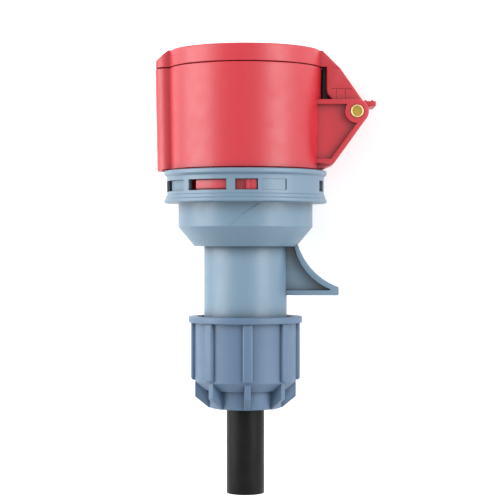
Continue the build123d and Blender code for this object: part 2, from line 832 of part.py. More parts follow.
# Clamping collet: a pressure ring under the neck with fingers around the cable
finger_top_r = cone_top_r - collet_play
cone_slope = (cone_top_r - nut_cone_r) / (nut_shoulder_z - nut_foot_z - nut_exit_h)
finger_foot_r = finger_top_r - cone_slope * (nut_shoulder_z - collet_finger_foot_z)
with BuildPart() as clamp_collet:
    with BuildSketch(Plane.XZ):
        with BuildLine():
            Polyline(
                (gripped_r + collet_play, collet_top_z + collet_nose),
                (neck_bore_r - collet_play, collet_top_z + collet_nose),
                (neck_bore_r - collet_play, collet_top_z),
                (nut_bore_r - collet_play, collet_top_z),
                (nut_bore_r - collet_play, collet_foot_z),
                (finger_top_r, collet_foot_z),
                (finger_top_r, nut_shoulder_z),
                (finger_foot_r, collet_finger_foot_z),
                (gripped_r + collet_play, collet_finger_foot_z),
                close=True,
            )
        make_face()
    revolve(axis=Axis.Z)
    with BuildSketch(Plane.XY.offset(collet_finger_foot_z)):
        with PolarLocations(gripped_r + cone_top_r / 2, collet_slots):
            Rectangle(cone_top_r, collet_slot_w)
    extrude(amount=nut_shoulder_z - collet_finger_foot_z, mode=Mode.SUBTRACT)
clamp_collet.part.label = "clamp_collet"

# Rubber gland seal around the cable, inside the neck
with BuildPart() as gland_seal:
    with BuildSketch(Plane.XY.offset(collet_top_z + collet_nose + slide_play)):
        Circle(neck_bore_r - slide_play)
        Circle(gripped_r + slide_play, mode=Mode.SUBTRACT)
    extrude(amount=gland_seal_h)
gland_seal.part.label = "gland_seal"

# Cable: an outer sheath, and five cores that run from the cut end up to the sockets
with BuildPart() as cable_sheath:
    with BuildSketch(Plane.XY.offset(cable_end_z)):
        Circle(cable_r)
    extrude(amount=collet_finger_foot_z - cable_end_z)
    with BuildSketch(Plane.XY.offset(collet_finger_foot_z)):
        Circle(gripped_r)
    extrude(amount=sheath_top_z - collet_finger_foot_z)
    with BuildSketch(Plane.XY.offset(cable_end_z)):
        Circle(core_circle_r + core_r + core_play)
    extrude(amount=sheath_top_z - cable_end_z, mode=Mode.SUBTRACT)
cable_sheath.part.label = "cable_sheath"


def core_run(turn, top_z):
    """Line of one core: straight up the cable, out to its socket, and straight in."""
    side = Plane.XZ.rotated((0, 0, turn))
    with BuildLine(side, mode=Mode.PRIVATE) as run:
        FilletPolyline(
            (core_circle_r, cable_end_z),
            (core_circle_r, -insert_tail - fan_lead - fan_rise),
            (contact_circle_r, -insert_tail - fan_lead),
            (contact_circle_r, top_z),
            radius=fan_bend_r,
        )
    return run.line


def core(name, turn):
    """Insulation of one core, a tube that ends just short of its socket."""
    with BuildPart() as tube:
        run = core_run(turn, -contact_rear - 1)
        with BuildSketch(Plane(origin=run @ 0, z_dir=run % 0)):
            Circle(core_r)
            Circle(core_bore_r, mode=Mode.SUBTRACT)
        sweep(path=run)
    tube.part.label = name
    return tube


core_names = ("core_brown", "core_black", "core_earth", "core_grey", "core_blue")
cores = [core(name, turn) for name, turn in zip(core_names, contact_angles)]

# Bare copper of the five cores, one solid each, up into the wire holes
with BuildPart() as conductors:
    for turn in contact_angles:
        run = core_run(turn, -contact_rear + wire_hole_depth - 1)
        with BuildSketch(Plane(origin=run @ 0, z_dir=run % 0)):
            Circle(conductor_r)
        sweep(path=run)
conductors.part.label = "conductors"

# The connector lies on the ring's two flanges and rolls until the bracket's corner meets the table
finished = [
    front_housing,
    lid,
    lid_seal,
    hinge_pin,
    hinge_spring,
    socket_insert,
    *contacts,
    terminal_screws,
    rear_housing,
    cable_neck,
    pull_hook,
    ring_seal,
    gland_nut,
    slip_washer,
    clamp_collet,
    gland_seal,
    cable_sheath,
    *cores,
    conductors,
]
corner_reach = hypot(pin_x + boss_r, bracket_half_w)
roll = degrees(asin(flange_r / corner_reach) - atan2(bracket_half_w, pin_x + boss_r))
lying = Rotation(0, roll, 0) * Rotation(-90, 0, 0)
room = Compound([piece.part.moved(lying) for piece in finished]).bounding_box()
at_rest = Location((-room.center().X, -room.center().Y, -room.min.Z)) * lying

os.makedirs("parts", exist_ok=True)
for piece in finished:
    name = piece.part.label
    piece.part.locate(at_rest)
    piece.part.label = name
    export_step(piece.part, f"parts/{name}.step")
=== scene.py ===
"""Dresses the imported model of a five-pole cable connector with a sprung, hinged lid.

Sizes are in millimetres in the connector's own frame: Z points out of the mouth and is zero where
the red front meets the grey ring, X points to the hinge, and -Y is the front, which the camera
sees.
"""

import json
import logging
from dataclasses import dataclass, field
from enum import Enum
from math import asin, atan2, ceil, cos, pi, radians, sin, sqrt, tan
from typing import Any, Iterable, Optional, Sequence

import bmesh
import bpy
from mathutils import Matrix, Vector

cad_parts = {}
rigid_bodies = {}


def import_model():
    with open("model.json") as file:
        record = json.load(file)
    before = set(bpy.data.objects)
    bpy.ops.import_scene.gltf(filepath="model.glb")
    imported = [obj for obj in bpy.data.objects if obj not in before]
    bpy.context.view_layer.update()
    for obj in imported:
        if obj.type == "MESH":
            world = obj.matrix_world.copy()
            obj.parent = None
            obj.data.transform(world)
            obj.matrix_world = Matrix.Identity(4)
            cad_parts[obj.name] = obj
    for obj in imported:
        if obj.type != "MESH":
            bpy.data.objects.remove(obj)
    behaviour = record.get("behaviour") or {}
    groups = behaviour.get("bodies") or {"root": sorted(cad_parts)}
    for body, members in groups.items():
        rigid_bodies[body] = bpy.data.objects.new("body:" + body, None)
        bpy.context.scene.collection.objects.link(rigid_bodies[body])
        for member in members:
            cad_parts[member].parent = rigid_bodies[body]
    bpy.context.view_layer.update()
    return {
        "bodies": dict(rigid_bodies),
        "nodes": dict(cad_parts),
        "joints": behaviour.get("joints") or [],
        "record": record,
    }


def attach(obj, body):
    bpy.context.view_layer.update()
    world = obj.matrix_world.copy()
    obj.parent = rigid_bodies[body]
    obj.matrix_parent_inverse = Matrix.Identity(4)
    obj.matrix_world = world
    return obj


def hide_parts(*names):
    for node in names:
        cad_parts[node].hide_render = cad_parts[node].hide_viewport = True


log = logging.getLogger("connector")

Point = tuple[float, float]
Row = list[Vector]
Colour = tuple[float, float, float]

# A millimetre in metres, and a metre in millimetres.
MM = 0.001
METRE = 1000.0

# Points closer than this become one, in millimetres.
MERGE = 1e-5

# Turned solids start this far from their axis, so that no face shrinks to nothing.
AXIS_R = 0.02

# Height of the insert's mount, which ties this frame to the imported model.
INSERT_MIDDLE = 22.4

# Half the width of the key on the collar and the lid.
KEY_HALF_W = 6.5

# Radius of the key's corners inside the lid.
KEY_HOLLOW_R = 3.0

# Degrees between the levels of a piece of a ring.
RING_STEP = 1.2

# Rounded edges: pieces in each, and the least angle in degrees between faces that get one.
EDGE_SEGMENTS = 3
EDGE_ANGLE = 40

# Middle part of a noise, where nearly all of its values lie.
NOISE_SPAN = (0.3, 0.7)


class Body(Enum):
    """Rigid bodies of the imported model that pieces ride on."""

    HOUSING = "housing"
    LID = "lid"
    NUT = "gland_nut"


class Slot(Enum):
    """Material slots of the record."""

    RED = "red_plastic"
    GREY = "grey_plastic"
    NUT = "nut_plastic"
    INSERT = "insert_plastic"
    SEAL = "seal_rubber"
    SHEATH = "sheath_rubber"
    BRASS = "brass"
    STEEL = "spring_steel"
    COPPER = "copper"
    BROWN = "core_brown"
    BLACK = "core_black"
    PALE = "core_grey"
    BLUE = "core_blue"
    EARTH = "core_earth"


# Flat outlines


def rectangle(inner: float, outer: float, low: float, high: float) -> list[Point]:
    """Corners of a rectangle, along its low side first."""
    return [(inner, low), (outer, low), (outer, high), (inner, high)]


def quarter_round(radius: float, steps: int) -> list[Point]:
    """Rounded edge from the wall to the top, as drops below the top and distances back."""
    turns = [pi / 2 * i / steps for i in range(steps + 1)]
    return [(radius * (1 - sin(a)), radius * (1 - cos(a))) for a in turns]


def rounded(
    points: Sequence[Point], radii: Sequence[float], steps: int = 5
) -> list[Point]:
    """Rounds the corners of a closed outline.

    Args:
        points: Corners of the outline, in order.
        radii: A radius for each corner.
        steps: Straight pieces in each rounded corner.

    Returns:
        The corners and arc points, in order.
    """
    least_side, nearly_flat, most_of_side = 1e-6, radians(176), 0.49
    count = len(points)
    result: list[Point] = []
    for place, radius in enumerate(radii):
        here = Vector(points[place])
        before = Vector(points[place - 1]) - here
        after = Vector(points[(place + 1) % count]) - here
        if radius <= 0 or before.length < least_side or after.length < least_side:
            result.append((here.x, here.y))
            continue
        before_dir, after_dir = before.normalized(), after.normalized()
        angle = before_dir.angle(after_dir)
        if angle > nearly_flat:
            result.append((here.x, here.y))
            continue
        side = most_of_side * min(before.length, after.length)
        reach = min(radius / tan(angle / 2), side)
        actual = reach * tan(angle / 2)
        centre = here + (before_dir + after_dir).normalized() * (actual / sin(angle / 2))
        first, last = here + before_dir * reach - centre, here + after_dir * reach - centre
        start = atan2(first.y, first.x)
        turn = atan2(first.x * last.y - first.y * last.x, first.dot(last))
        for step in range(steps + 1):
            a = start + turn * step / steps
            result.append((centre.x + actual * cos(a), centre.y + actual * sin(a)))
    return result


def circle(centre: Point, radius: float, steps: int) -> list[Point]:
    """Points around a circle, anticlockwise."""
    turns = [2 * pi * i / steps for i in range(steps)]
    return [(centre[0] + radius * cos(a), centre[1] + radius * sin(a)) for a in turns]


def hull(points: Iterable[Point]) -> list[Point]:
    """Convex outline around points.

    Args:
        points: The points, in any order.

    Returns:
        The corners of the outline, anticlockwise.
    """
    ordered = sorted(set(points))

    def half(run: Iterable[Point]) -> list[Point]:
        """One side of the outline.

        Args:
            run: The points, in order.

        Returns:
            The corners on that side, without the last one.
        """
        chain: list[Point] = []
        for p in run:
            while len(chain) > 1:
                (ax, ay), (bx, by) = chain[-2], chain[-1]
                if (bx - ax) * (p[1] - ay) - (by - ay) * (p[0] - ax) > 0:
                    break
                chain.pop()
            chain.append(p)
        return chain[:-1]

    return half(ordered) + half(reversed(ordered))


def inset(outline: Sequence[Point], amount: float) -> list[Point]:
    """Moves each side of a convex, anticlockwise outline inwards.

    Args:
        outline: Corners of the outline.
        amount: Distance that the sides move.

    Returns:
        The corners of the smaller outline.
    """
    result: list[Point] = []
    count = len(outline)
    for place in range(count):
        here = Vector(outline[place])
        into = (here - Vector(outline[place - 1])).normalized()
        out = (Vector(outline[(place + 1) % count]) - here).normalized()
        n1, n2 = Vector((-into.y, into.x)), Vector((-out.y, out.x))
        moved = here + (n1 + n2) * (amount / (1 + n1.dot(n2)))
        result.append((moved.x, moved.y))
    return result


def keyed_row(
    radius: float,
    z: float,
    reach: Optional[float] = None,
    half_width: float = KEY_HALF_W,
    corner: float = 0.0,
) -> Row:
    """One level of a round form with a rounded key towards -X.

    Each level has the same number of points, so any two can be joined.

    Args:
        radius: Radius of the round part.
        z: Height of the level.
        reach: Distance from the axis to the key's end, or None for a plain circle.
        half_width: Half the key's width.
        corner: Radius of the key's two outer corners.

    Returns:
        The points of the level, anticlockwise.
    """
    arc, straight, bend, end = 200, 8, 8, 6
    least_corner = 0.15
    lean = asin(half_width / radius)
    points = []
    for i in range(arc + 1):
        a = -pi + lean + 2 * (pi - lean) * i / arc
        points.append((radius * cos(a), radius * sin(a)))
    rest = 2 * straight + 2 * bend + end
    if reach is None:
        for i in range(1, rest):
            a = pi - lean + 2 * lean * i / rest
            points.append((radius * cos(a), radius * sin(a)))
        return [Vector((x, y, z)) for x, y in points]
    side = []
    root = radius * cos(lean)
    corner = max(corner, least_corner)
    for i in range(1, straight + 1):
        side.append((-root - (reach - corner - root) * i / straight, half_width))
    for i in range(1, bend + 1):
        a = pi / 2 + pi / 2 * i / bend
        side.append((-reach + corner + corner * cos(a), half_width - corner + corner * sin(a)))
    far = half_width - corner
    middle = [(-reach, far - 2 * far * i / end) for i in range(1, end)]
    points += side + middle + [(x, -y) for x, y in reversed(side)]
    return [Vector((x, y, z)) for x, y in points]


# Solid forms


def add_object(name: str, data: bpy.types.ID) -> bpy.types.Object:
    """Puts a new object with the given data in the scene.

    Args:
        name: Name of the object.
        data: Its mesh, camera or lamp.

    Returns:
        The new object.
    """
    made = bpy.data.objects.new(name, data)
    bpy.context.scene.collection.objects.link(made)
    return made


def add_mesh(name: str, mesh: bmesh.types.BMesh) -> bpy.types.Object:
    """Turns an edit mesh into an object of the scene.

    Args:
        name: Name of the object.
        mesh: Its mesh, which is freed here.

    Returns:
        The new object.
    """
    data = bpy.data.meshes.new(name)
    mesh.to_mesh(data)
    mesh.free()
    return add_object(name, data)


def discard(piece: bpy.types.Object) -> None:
    """Removes an object and its mesh.

    Args:
        piece: The object.
    """
    data = piece.data
    bpy.data.objects.remove(piece)
    bpy.data.meshes.remove(data)


@dataclass
class Bench:
    """Builds meshes in the connector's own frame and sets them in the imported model's frame.

    Attributes:
        place: Matrix from millimetres in the connector's frame to metres in the model's frame.
    """

    place: Matrix

    @classmethod
    def from_record(cls, record: dict[str, Any], insert_middle: float) -> "Bench":
        """Reads the placement from the record's mount and hinge.

        Args:
            record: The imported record.
            insert_middle: Height of the insert's mount in the connector's frame.

        Returns:
            A bench for that placement.
        """
        mount = next(m for m in record["mounts"] if m["name"] == "socket_insert")
        hinge = next(j for j in record["behaviour"]["joints"] if j["name"] == "lid_hinge")
        up = Vector(mount["axis"]).normalized()
        across = Vector(hinge["axis"]).normalized()
        side = across.cross(up).normalized()
        origin = Vector(mount["pos_m"]) - up * insert_middle * MM
        turn = Matrix((side, across, up)).transposed().to_4x4()
        return cls(Matrix.Translation(origin) @ turn @ Matrix.Scale(MM, 4))

    def point(self, x: float, y: float, z: float) -> Vector:
        """A point of the connector's frame in the model's frame."""
        return self.place @ Vector((x, y, z))

    def loft(self, name: str, rows: Sequence[Row], closed: bool = True) -> bpy.types.Object:
        """Skins a run of levels that have the same number of points.

        Args:
            name: Name of the piece.
            rows: The levels in order.
            closed: Whether the last level joins the first. Otherwise both ends get a face.

        Returns:
            The new object, still in the connector's frame.
        """
        mesh = bmesh.new()
        made = [[mesh.verts.new(p) for p in row] for row in rows]
        pairs = list(zip(made, made[1:])) + ([(made[-1], made[0])] if closed else [])
        for low, high in pairs:
            for i in range(len(low)):
                j = (i + 1) % len(low)
                mesh.faces.new((low[i], low[j], high[j], high[i]))
        if not closed:
            mesh.faces.new(made[0])
            mesh.faces.new(made[-1])
        bmesh.ops.remove_doubles(mesh, verts=mesh.verts, dist=MERGE)
        bmesh.ops.recalc_face_normals(mesh, faces=mesh.faces)
        return add_mesh(name, mesh)

    def turned(
        self, name: str, profile: Sequence[Point], steps: int = 192, axis: Optional[Matrix] = None
    ) -> bpy.types.Object:
        """Turns a closed profile around an axis.

        Args:
            name: Name of the piece.
            profile: Points as radius and height.
            steps: Divisions around the axis.
            axis: Placement of the axis, or None for the connector's own.

        Returns:
            The new object.
        """
        place = axis or Matrix.Identity(4)
        rows = [
            [place @ Vector((r * cos(a), r * sin(a), z)) for r, z in profile]
            for a in (2 * pi * i / steps for i in range(steps))
        ]
        return self.loft(name, rows)

    def slab(
        self,
        name: str,
        outline: Sequence[Point],
        low: float,
        high: float,
        edge: float = 0.0,
        turn: float = 0.0,
    ) -> bpy.types.Object:
        """Gives a side outline in X and Z a thickness along Y.

        Args:
            name: Name of the piece.
            outline: Points as X and Z.
            low: Y of one face.
            high: Y of the other face.
            edge: Width of the rounding along both faces.
            turn: Degrees that the slab is turned around the connector's axis.

        Returns:
            The new object.
        """
        rows = [[Vector((x, y, z)) for x, z in outline] for y in (low, high)]
        piece = self.loft(name, rows, closed=False)
        if edge:
            self.soften(piece, edge)
        if turn:
            piece.data.transform(Matrix.Rotation(radians(turn), 4, "Z"))
        return piece

    def ring_block(
        self,
        name: str,
        inner: float,
        outer: float,
        start: float,
        end: float,
        low: float,
        high: float,
        edge: float = 0.0,
    ) -> bpy.types.Object:
        """Piece of a ring between two angles, measured from the front towards the hinge.

        Args:
            name: Name of the piece.
            inner: Inner radius.
            outer: Outer radius.
            start: First angle in degrees.
            end: Last angle in degrees.
            low: Lower height.
            high: Upper height.
            edge: Width of the rounding along its edges.

        Returns:
            The new object.
        """
        steps = max(2, ceil(abs(end - start) / RING_STEP))
        rows = []
        for i in range(steps + 1):
            a = radians(start + (end - start) * i / steps - 90)
            corners = rectangle(inner, outer, low, high)
            rows.append([Vector((r * cos(a), r * sin(a), z)) for r, z in corners])
        piece = self.loft(name, rows, closed=False)
        if edge:
            self.soften(piece, edge)
        return piece

    def wire(
        self, name: str, path: Sequence[Vector], radius: float, sides: int
    ) -> bpy.types.Object:
        """Round bar along a path.

        Args:
            name: Name of the piece.
            path: Points of its centre line.
            radius: Radius of the bar.
            sides: Divisions around it.

        Returns:
            The new object.
        """
        too_short = 1e-3
        rows = []
        side = Vector((0, 0, 1))
        for place, here in enumerate(path):
            ahead = path[min(place + 1, len(path) - 1)] - path[max(place - 1, 0)]
            along = ahead.normalized()
            side = side - along * side.dot(along)
            if side.length < too_short:
                side = along.orthogonal()
            side.normalize()
            other = along.cross(side)
            ring = circle((0, 0), radius, sides)
            rows.append([here + side * x + other * y for x, y in ring])
        return self.loft(name, rows, closed=False)

    def bake(self, piece: bpy.types.Object) -> bpy.types.Object:
        """Applies a piece's modifiers to its mesh.

        Args:
            piece: The piece.

        Returns:
            The same piece.
        """
        bpy.context.view_layer.update()
        graph = bpy.context.evaluated_depsgraph_get()
        data = bpy.data.meshes.new_from_object(piece.evaluated_get(graph))
        piece.modifiers.clear()
        old = piece.data
        piece.data = data
        bpy.data.meshes.remove(old)
        return piece

    def soften(self, piece: bpy.types.Object, width: float) -> bpy.types.Object:
        """Rounds a piece's sharp edges.

        Args:
            piece: The piece.
            width: Width of the rounding.

        Returns:
            The same piece.
        """
        bevel = piece.modifiers.new("edges", "BEVEL")
        bevel.width = width
        bevel.segments = EDGE_SEGMENTS
        bevel.limit_method = "ANGLE"
        bevel.angle_limit = radians(EDGE_ANGLE)
        return self.bake(piece)

    def cut(self, piece: bpy.types.Object, *tools: bpy.types.Object) -> bpy.types.Object:
        """Takes tools away from a piece, and removes the tools.

        Args:
            piece: The piece that is cut.
            tools: Solids that are taken away from it.

        Returns:
            The same piece.
        """
        for tool in tools:
            step = piece.modifiers.new("cut", "BOOLEAN")
            step.operation = "DIFFERENCE"
            step.solver = "EXACT"
            step.object = tool
            self.bake(piece)
            discard(tool)
        return piece

    def join(self, name: str, pieces: Sequence[bpy.types.Object]) -> bpy.types.Object:
        """Puts several solids into one object.

        Args:
            name: Name of the result.
            pieces: The solids, which are removed.

        Returns:
            The new object.
        """
        mesh = bmesh.new()
        for piece in pieces:
            mesh.from_mesh(piece.data)
            discard(piece)
        return add_mesh(name, mesh)

    def finish(
        self,
        piece: bpy.types.Object,
        body: Body,
        slot: Slot,
        material: bpy.types.Material,
        nodes: Sequence[str] = (),
        smooth: float = 32,
    ) -> bpy.types.Object:
        """Places a piece in the model's frame, dresses it and lets it ride on its body.

        Args:
            piece: The piece, still in the connector's frame.
            body: Body that carries it.
            slot: Material slot of the record; not used.
            material: Its finish.
            nodes: CAD nodes that it stands for.
            smooth: Greatest angle in degrees that shades as one surface.

        Returns:
            The same piece.
        """
        piece.data.transform(self.place)
        piece.data.shade_smooth()
        piece.data.set_sharp_from_angle(angle=radians(smooth))
        piece.data.materials.clear()
        piece.data.materials.append(material)
        if nodes:
            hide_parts(*nodes)
        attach(piece, body.value)
        log.info("%s: %d faces on %s", piece.name, len(piece.data.polygons), body.value)
        return piece


# Finishes


def tint(colour: Colour, factor: float, lift: float = 0.0) -> Colour:
    """Colour that is multiplied and then lifted, up to white."""
    return tuple(min(1.0, c * factor + lift) for c in colour)


@dataclass
class Graph:
    """Small helper around the nodes of one material or of the world.

    Attributes:
        owner: The material or world that is built.
    """

    owner: bpy.types.ID
    tree: bpy.types.NodeTree = field(init=False)

    def __post_init__(self) -> None:
        """Clears the owner's nodes."""
        self.owner.use_nodes = True
        self.tree = self.owner.node_tree
        self.tree.nodes.clear()

    def feed(self, socket: bpy.types.NodeSocket, value: Any) -> None:
        """Links an input to another node's output, or sets its constant.

        Args:
            socket: The input.
            value: Output socket or constant.
        """
        if isinstance(value, bpy.types.NodeSocket):
            self.tree.links.new(value, socket)
        else:
            socket.default_value = value

    def add(self, kind: str, **sockets: Any) -> bpy.types.Node:
        """Adds a node and sets or links its sockets.

        Args:
            kind: Blender's node type.
            sockets: Values or output sockets by input name, with _ for a space. Names that are
                no input are attributes of the node.

        Returns:
            The new node.
        """
        node = self.tree.nodes.new(kind)
        for name, value in sockets.items():
            key = name.replace("_", " ")
            if key in node.inputs:
                self.feed(node.inputs[key], value)
            else:
                setattr(node, name, value)
        return node

    def math(self, operation: str, *values: Any) -> bpy.types.NodeSocket:
        """Works out one value from others.

        Args:
            operation: Blender's name of the operation.
            values: Numbers or output sockets, in the operation's order.

        Returns:
            The result.
        """
        node = self.add("ShaderNodeMath", operation=operation)
        for socket, value in zip(node.inputs, values):
            self.feed(socket, value)
        return node.outputs[0]

    def remap(
        self,
        value: bpy.types.NodeSocket,
        low: float,
        high: float,
        start: float = 0.0,
        end: float = 1.0,
    ) -> bpy.types.NodeSocket:
        """Maps a range of a value to another.

        Args:
            value: The value.
            low: Result at start.
            high: Result at end.
            start: Lower end of the value's range.
            end: Upper end of the value's range.

        Returns:
            The mapped value.
        """
        node = self.add(
            "ShaderNodeMapRange",
            Value=value,
            From_Min=start,
            From_Max=end,
            To_Min=low,
            To_Max=high,
        )
        return node.outputs["Result"]

    def blend(self, first: Any, second: Any, share: bpy.types.NodeSocket) -> bpy.types.NodeSocket:
        """Mixes two colours.

        Args:
            first: Colour or socket at share 0.
            second: Colour or socket at share 1.
            share: The mixing value.

        Returns:
            The mixed colour.
        """
        node = self.add("ShaderNodeMix", data_type="RGBA")
        factor, colour_a, colour_b = node.inputs[0], node.inputs[6], node.inputs[7]
        self.feed(factor, share)
        for socket, value in ((colour_a, first), (colour_b, second)):
            linked = isinstance(value, bpy.types.NodeSocket)
            self.feed(socket, value if linked else (*value, 1.0))
        return node.outputs[2]

    def where(self, stretch: Optional[Colour] = None) -> bpy.types.NodeSocket:
        """Coordinates of the shaded point in metres, which ride with the piece.

        Args:
            stretch: Factors along X, Y and Z, or None for plain coordinates.

        Returns:
            The coordinates.
        """
        plain = self.add("ShaderNodeTexCoord").outputs["Object"]
        if stretch is None:
            return plain
        return self.add("ShaderNodeMapping", Vector=plain, Scale=stretch).outputs["Vector"]

    def noise(
        self, where: bpy.types.NodeSocket, size: float, detail: float
    ) -> bpy.types.NodeSocket:
        """Soft noise with spots of a given size.

        Args:
            where: Coordinates in metres.
            size: Size of the spots in millimetres.
            detail: Finer layers on top.

        Returns:
            The noise value.
        """
        node = self.add("ShaderNodeTexNoise", Vector=where, Scale=METRE / size, Detail=detail)
        return node.outputs["Fac"]

    def close(self, shader: bpy.types.Node, kind: str) -> bpy.types.ID:
        """Links the last node to the output.

        Args:
            shader: The last node.
            kind: Blender's type of the output node.

        Returns:
            The owner.
        """
        self.feed(self.add(kind).inputs["Surface"], shader.outputs[0])
        return self.owner

    def surface(
        self,
        colour: bpy.types.NodeSocket,
        rough: bpy.types.NodeSocket,
        height: bpy.types.NodeSocket,
        depth: float,
        edge: Optional[bpy.types.NodeSocket] = None,
        **sockets: Any,
    ) -> bpy.types.Material:
        """Closes a material with an uneven surface.

        Args:
            colour: Its colour.
            rough: Its roughness.
            height: Its unevenness, from 0 to 1.
            depth: Height of the unevenness in millimetres.
            edge: Normal with rounded edges, or None for the mesh's own.
            sockets: Further inputs of the shader.

        Returns:
            The material.
        """
        bump = self.add("ShaderNodeBump", Strength=1.0, Distance=depth * MM, Height=height)
        if edge is not None:
            self.feed(bump.inputs["Normal"], edge)
        shader = self.add(
            "ShaderNodeBsdfPrincipled",
            Base_Color=colour,
            Roughness=rough,
            Normal=bump.outputs["Normal"],
            **sockets,
        )
        return self.close(shader, "ShaderNodeOutputMaterial")


@dataclass(frozen=True)
class Moulded:
    """Injection-moulded plastic: a fine grain, soft flow marks, a painted highlight on sharp edges
    and painted shade in crevices.

    Attributes:
        name: Name of the material.
        colour: Linear colour.
        roughness: Middle roughness.
        grain: Size of the grain in millimetres.
        depth: Height of the grain in millimetres.
        flow: Share by which flow marks change the colour.
        painted_edge_highlight: Share of lighter colour painted on sharp edges as a highlight.
        specular: Specular level.
        painted_crevice_shade: Share of painted shade in crevices, by which the colour there is
            darker.
        reach: Width of the crevices that get the painted shade, in millimetres.
        flow_size: Size of the flow marks in millimetres.
        flow_stretch: Factors that draw the flow marks out along the connector.
        swell_size: Size of the surface's broad unevenness in millimetres.
        swell: Height of the broad unevenness, in heights of the grain.
        patch_size: Size of the patches of other roughness in millimetres.
        patch: Roughness of the patches below and above the middle.
        edge_round: Radius of the shaded edges in millimetres.
        painted_highlight_span: Pointiness at which the painted edge highlight starts and is full.
        painted_shade_span: Openness at which the painted shade ends and the plain colour is full.
    """

    name: str
    colour: Colour
    roughness: float = 0.4
    grain: float = 0.45
    depth: float = 0.012
    flow: float = 0.05
    painted_edge_highlight: float = 0.12
    specular: float = 0.5
    painted_crevice_shade: float = 0.5
    reach: float = 8.0
    flow_size: float = 14.0
    flow_stretch: Colour = (1.0, 0.25, 1.0)
    swell_size: float = 9.0
    swell: float = 2.2
    patch_size: float = 5.0
    patch: Point = (0.05, 0.06)
    edge_round: float = 0.22
    painted_highlight_span: Point = (0.52, 0.62)
    painted_shade_span: Point = (0.3, 0.92)

    def build(self) -> bpy.types.Material:
        """Makes the material.

        Returns:
            The material.
        """
        g = Graph(bpy.data.materials.new(self.name))
        where = g.where()
        flow = g.noise(g.where(self.flow_stretch), self.flow_size, 4)
        marks = g.blend(
            tint(self.colour, 1 - self.flow),
            tint(self.colour, 1 + self.flow, 0.004),
            g.remap(flow, 0.0, 1.0, *NOISE_SPAN),
        )
        # Painted highlight: sharp edges, found by pointiness, get a lighter colour.
        point = g.add("ShaderNodeNewGeometry").outputs["Pointiness"]
        worn = g.remap(point, 0.0, self.painted_edge_highlight, *self.painted_highlight_span)
        # Painted shade: ambient occlusion darkens the colour in crevices and recesses, where shade
        # falls.
        light = g.add("ShaderNodeAmbientOcclusion", Distance=self.reach * MM, samples=8)
        colour = g.blend(
            tint(self.colour, 1 - self.painted_crevice_shade),
            g.blend(marks, tint(self.colour, 1.35, 0.05), worn),
            g.remap(light.outputs["AO"], 0.0, 1.0, *self.painted_shade_span),
        )
        patches = g.noise(where, self.patch_size, 3)
        smoother, rougher = self.patch
        swell = g.noise(where, self.swell_size, 2)
        edge = g.add("ShaderNodeBevel", Radius=self.edge_round * MM, samples=4)
        return g.surface(
            colour,
            g.remap(patches, self.roughness - smoother, self.roughness + rougher, *NOISE_SPAN),
            g.math("MULTIPLY_ADD", swell, self.swell, g.noise(where, self.grain, 4)),
            self.depth,
            edge.outputs["Normal"],
            Specular_IOR_Level=self.specular,
        )


@dataclass(frozen=True)
class Rubber:
    """Soft rubber or cable sheath with drawn lines along the cable and a little dust.

    Attributes:
        name: Name of the material.
        colour: Linear colour.
        roughness: Middle roughness.
        lines: Size of the drawn lines in millimetres.
        depth: Height of the surface's unevenness in millimetres.
        dust: Share of pale dust where it lies thickest.
        specular: Specular level.
        stretch: Factors that draw the lines out along the cable.
        spots: Size of the surface's fine spots in millimetres.
        dust_size: Size of the patches of dust in millimetres.
        dust_span: Noise at which the dust starts and is thickest.
        uneven: Roughness of the lines below and above the middle.
    """

    name: str
    colour: Colour
    roughness: float = 0.55
    lines: float = 0.5
    depth: float = 0.02
    dust: float = 0.2
    specular: float = 0.4
    stretch: Colour = (1.0, 0.06, 1.0)
    spots: float = 0.25
    dust_size: float = 6.0
    dust_span: Point = (0.45, 0.75)
    uneven: Point = (0.08, 0.1)

    def build(self) -> bpy.types.Material:
        """Makes the material.

        Returns:
            The material.
        """
        g = Graph(bpy.data.materials.new(self.name))
        where = g.where()
        streaks = g.noise(g.where(self.stretch), self.lines, 3)
        dust = g.remap(g.noise(where, self.dust_size, 5), 0.0, self.dust, *self.dust_span)
        smoother, rougher = self.uneven
        return g.surface(
            g.blend(self.colour, tint(self.colour, 0.8, 0.06), dust),
            g.remap(streaks, self.roughness - smoother, self.roughness + rougher, *NOISE_SPAN),
            g.math("ADD", streaks, g.noise(where, self.spots, 3)),
            self.depth,
            Specular_IOR_Level=self.specular,
        )


@dataclass(frozen=True)
class Metal:
    """Turned or drawn metal with fine tool lines and darker spots.

    Attributes:
        name: Name of the material.
        colour: Linear colour.
        dull: Linear colour of the tarnish.
        roughness: Middle roughness.
        lines: Size of the tool lines in millimetres.
        depth: Height of the tool lines in millimetres.
        stretch: Factors that draw the tool lines out.
        spots: Size of the tarnished spots in millimetres.
        tarnish: Share of the tarnish in the middle of a spot.
        spot_span: Noise at which a spot starts and is darkest.
        uneven: Roughness of the tool lines below and above the middle.
    """

    name: str
    colour: Colour
    dull: Colour
    roughness: float = 0.3
    lines: float = 0.12
    depth: float = 0.004
    stretch: Colour = (1.0, 0.15, 1.0)
    spots: float = 1.8
    tarnish: float = 0.8
    spot_span: Point = (0.45, 0.8)
    uneven: Point = (0.06, 0.1)

    def build(self) -> bpy.types.Material:
        """Makes the material.

        Returns:
            The material.
        """
        g = Graph(bpy.data.materials.new(self.name))
        tool = g.noise(g.where(self.stretch), self.lines, 2)
        spots = g.noise(g.where(), self.spots, 4)
        smoother, rougher = self.uneven
        return g.surface(
            g.blend(self.colour, self.dull, g.remap(spots, 0.0, self.tarnish, *self.spot_span)),
            g.remap(tool, self.roughness - smoother, self.roughness + rougher, *NOISE_SPAN),
            tool,
            self.depth,
            Metallic=1.0,
        )


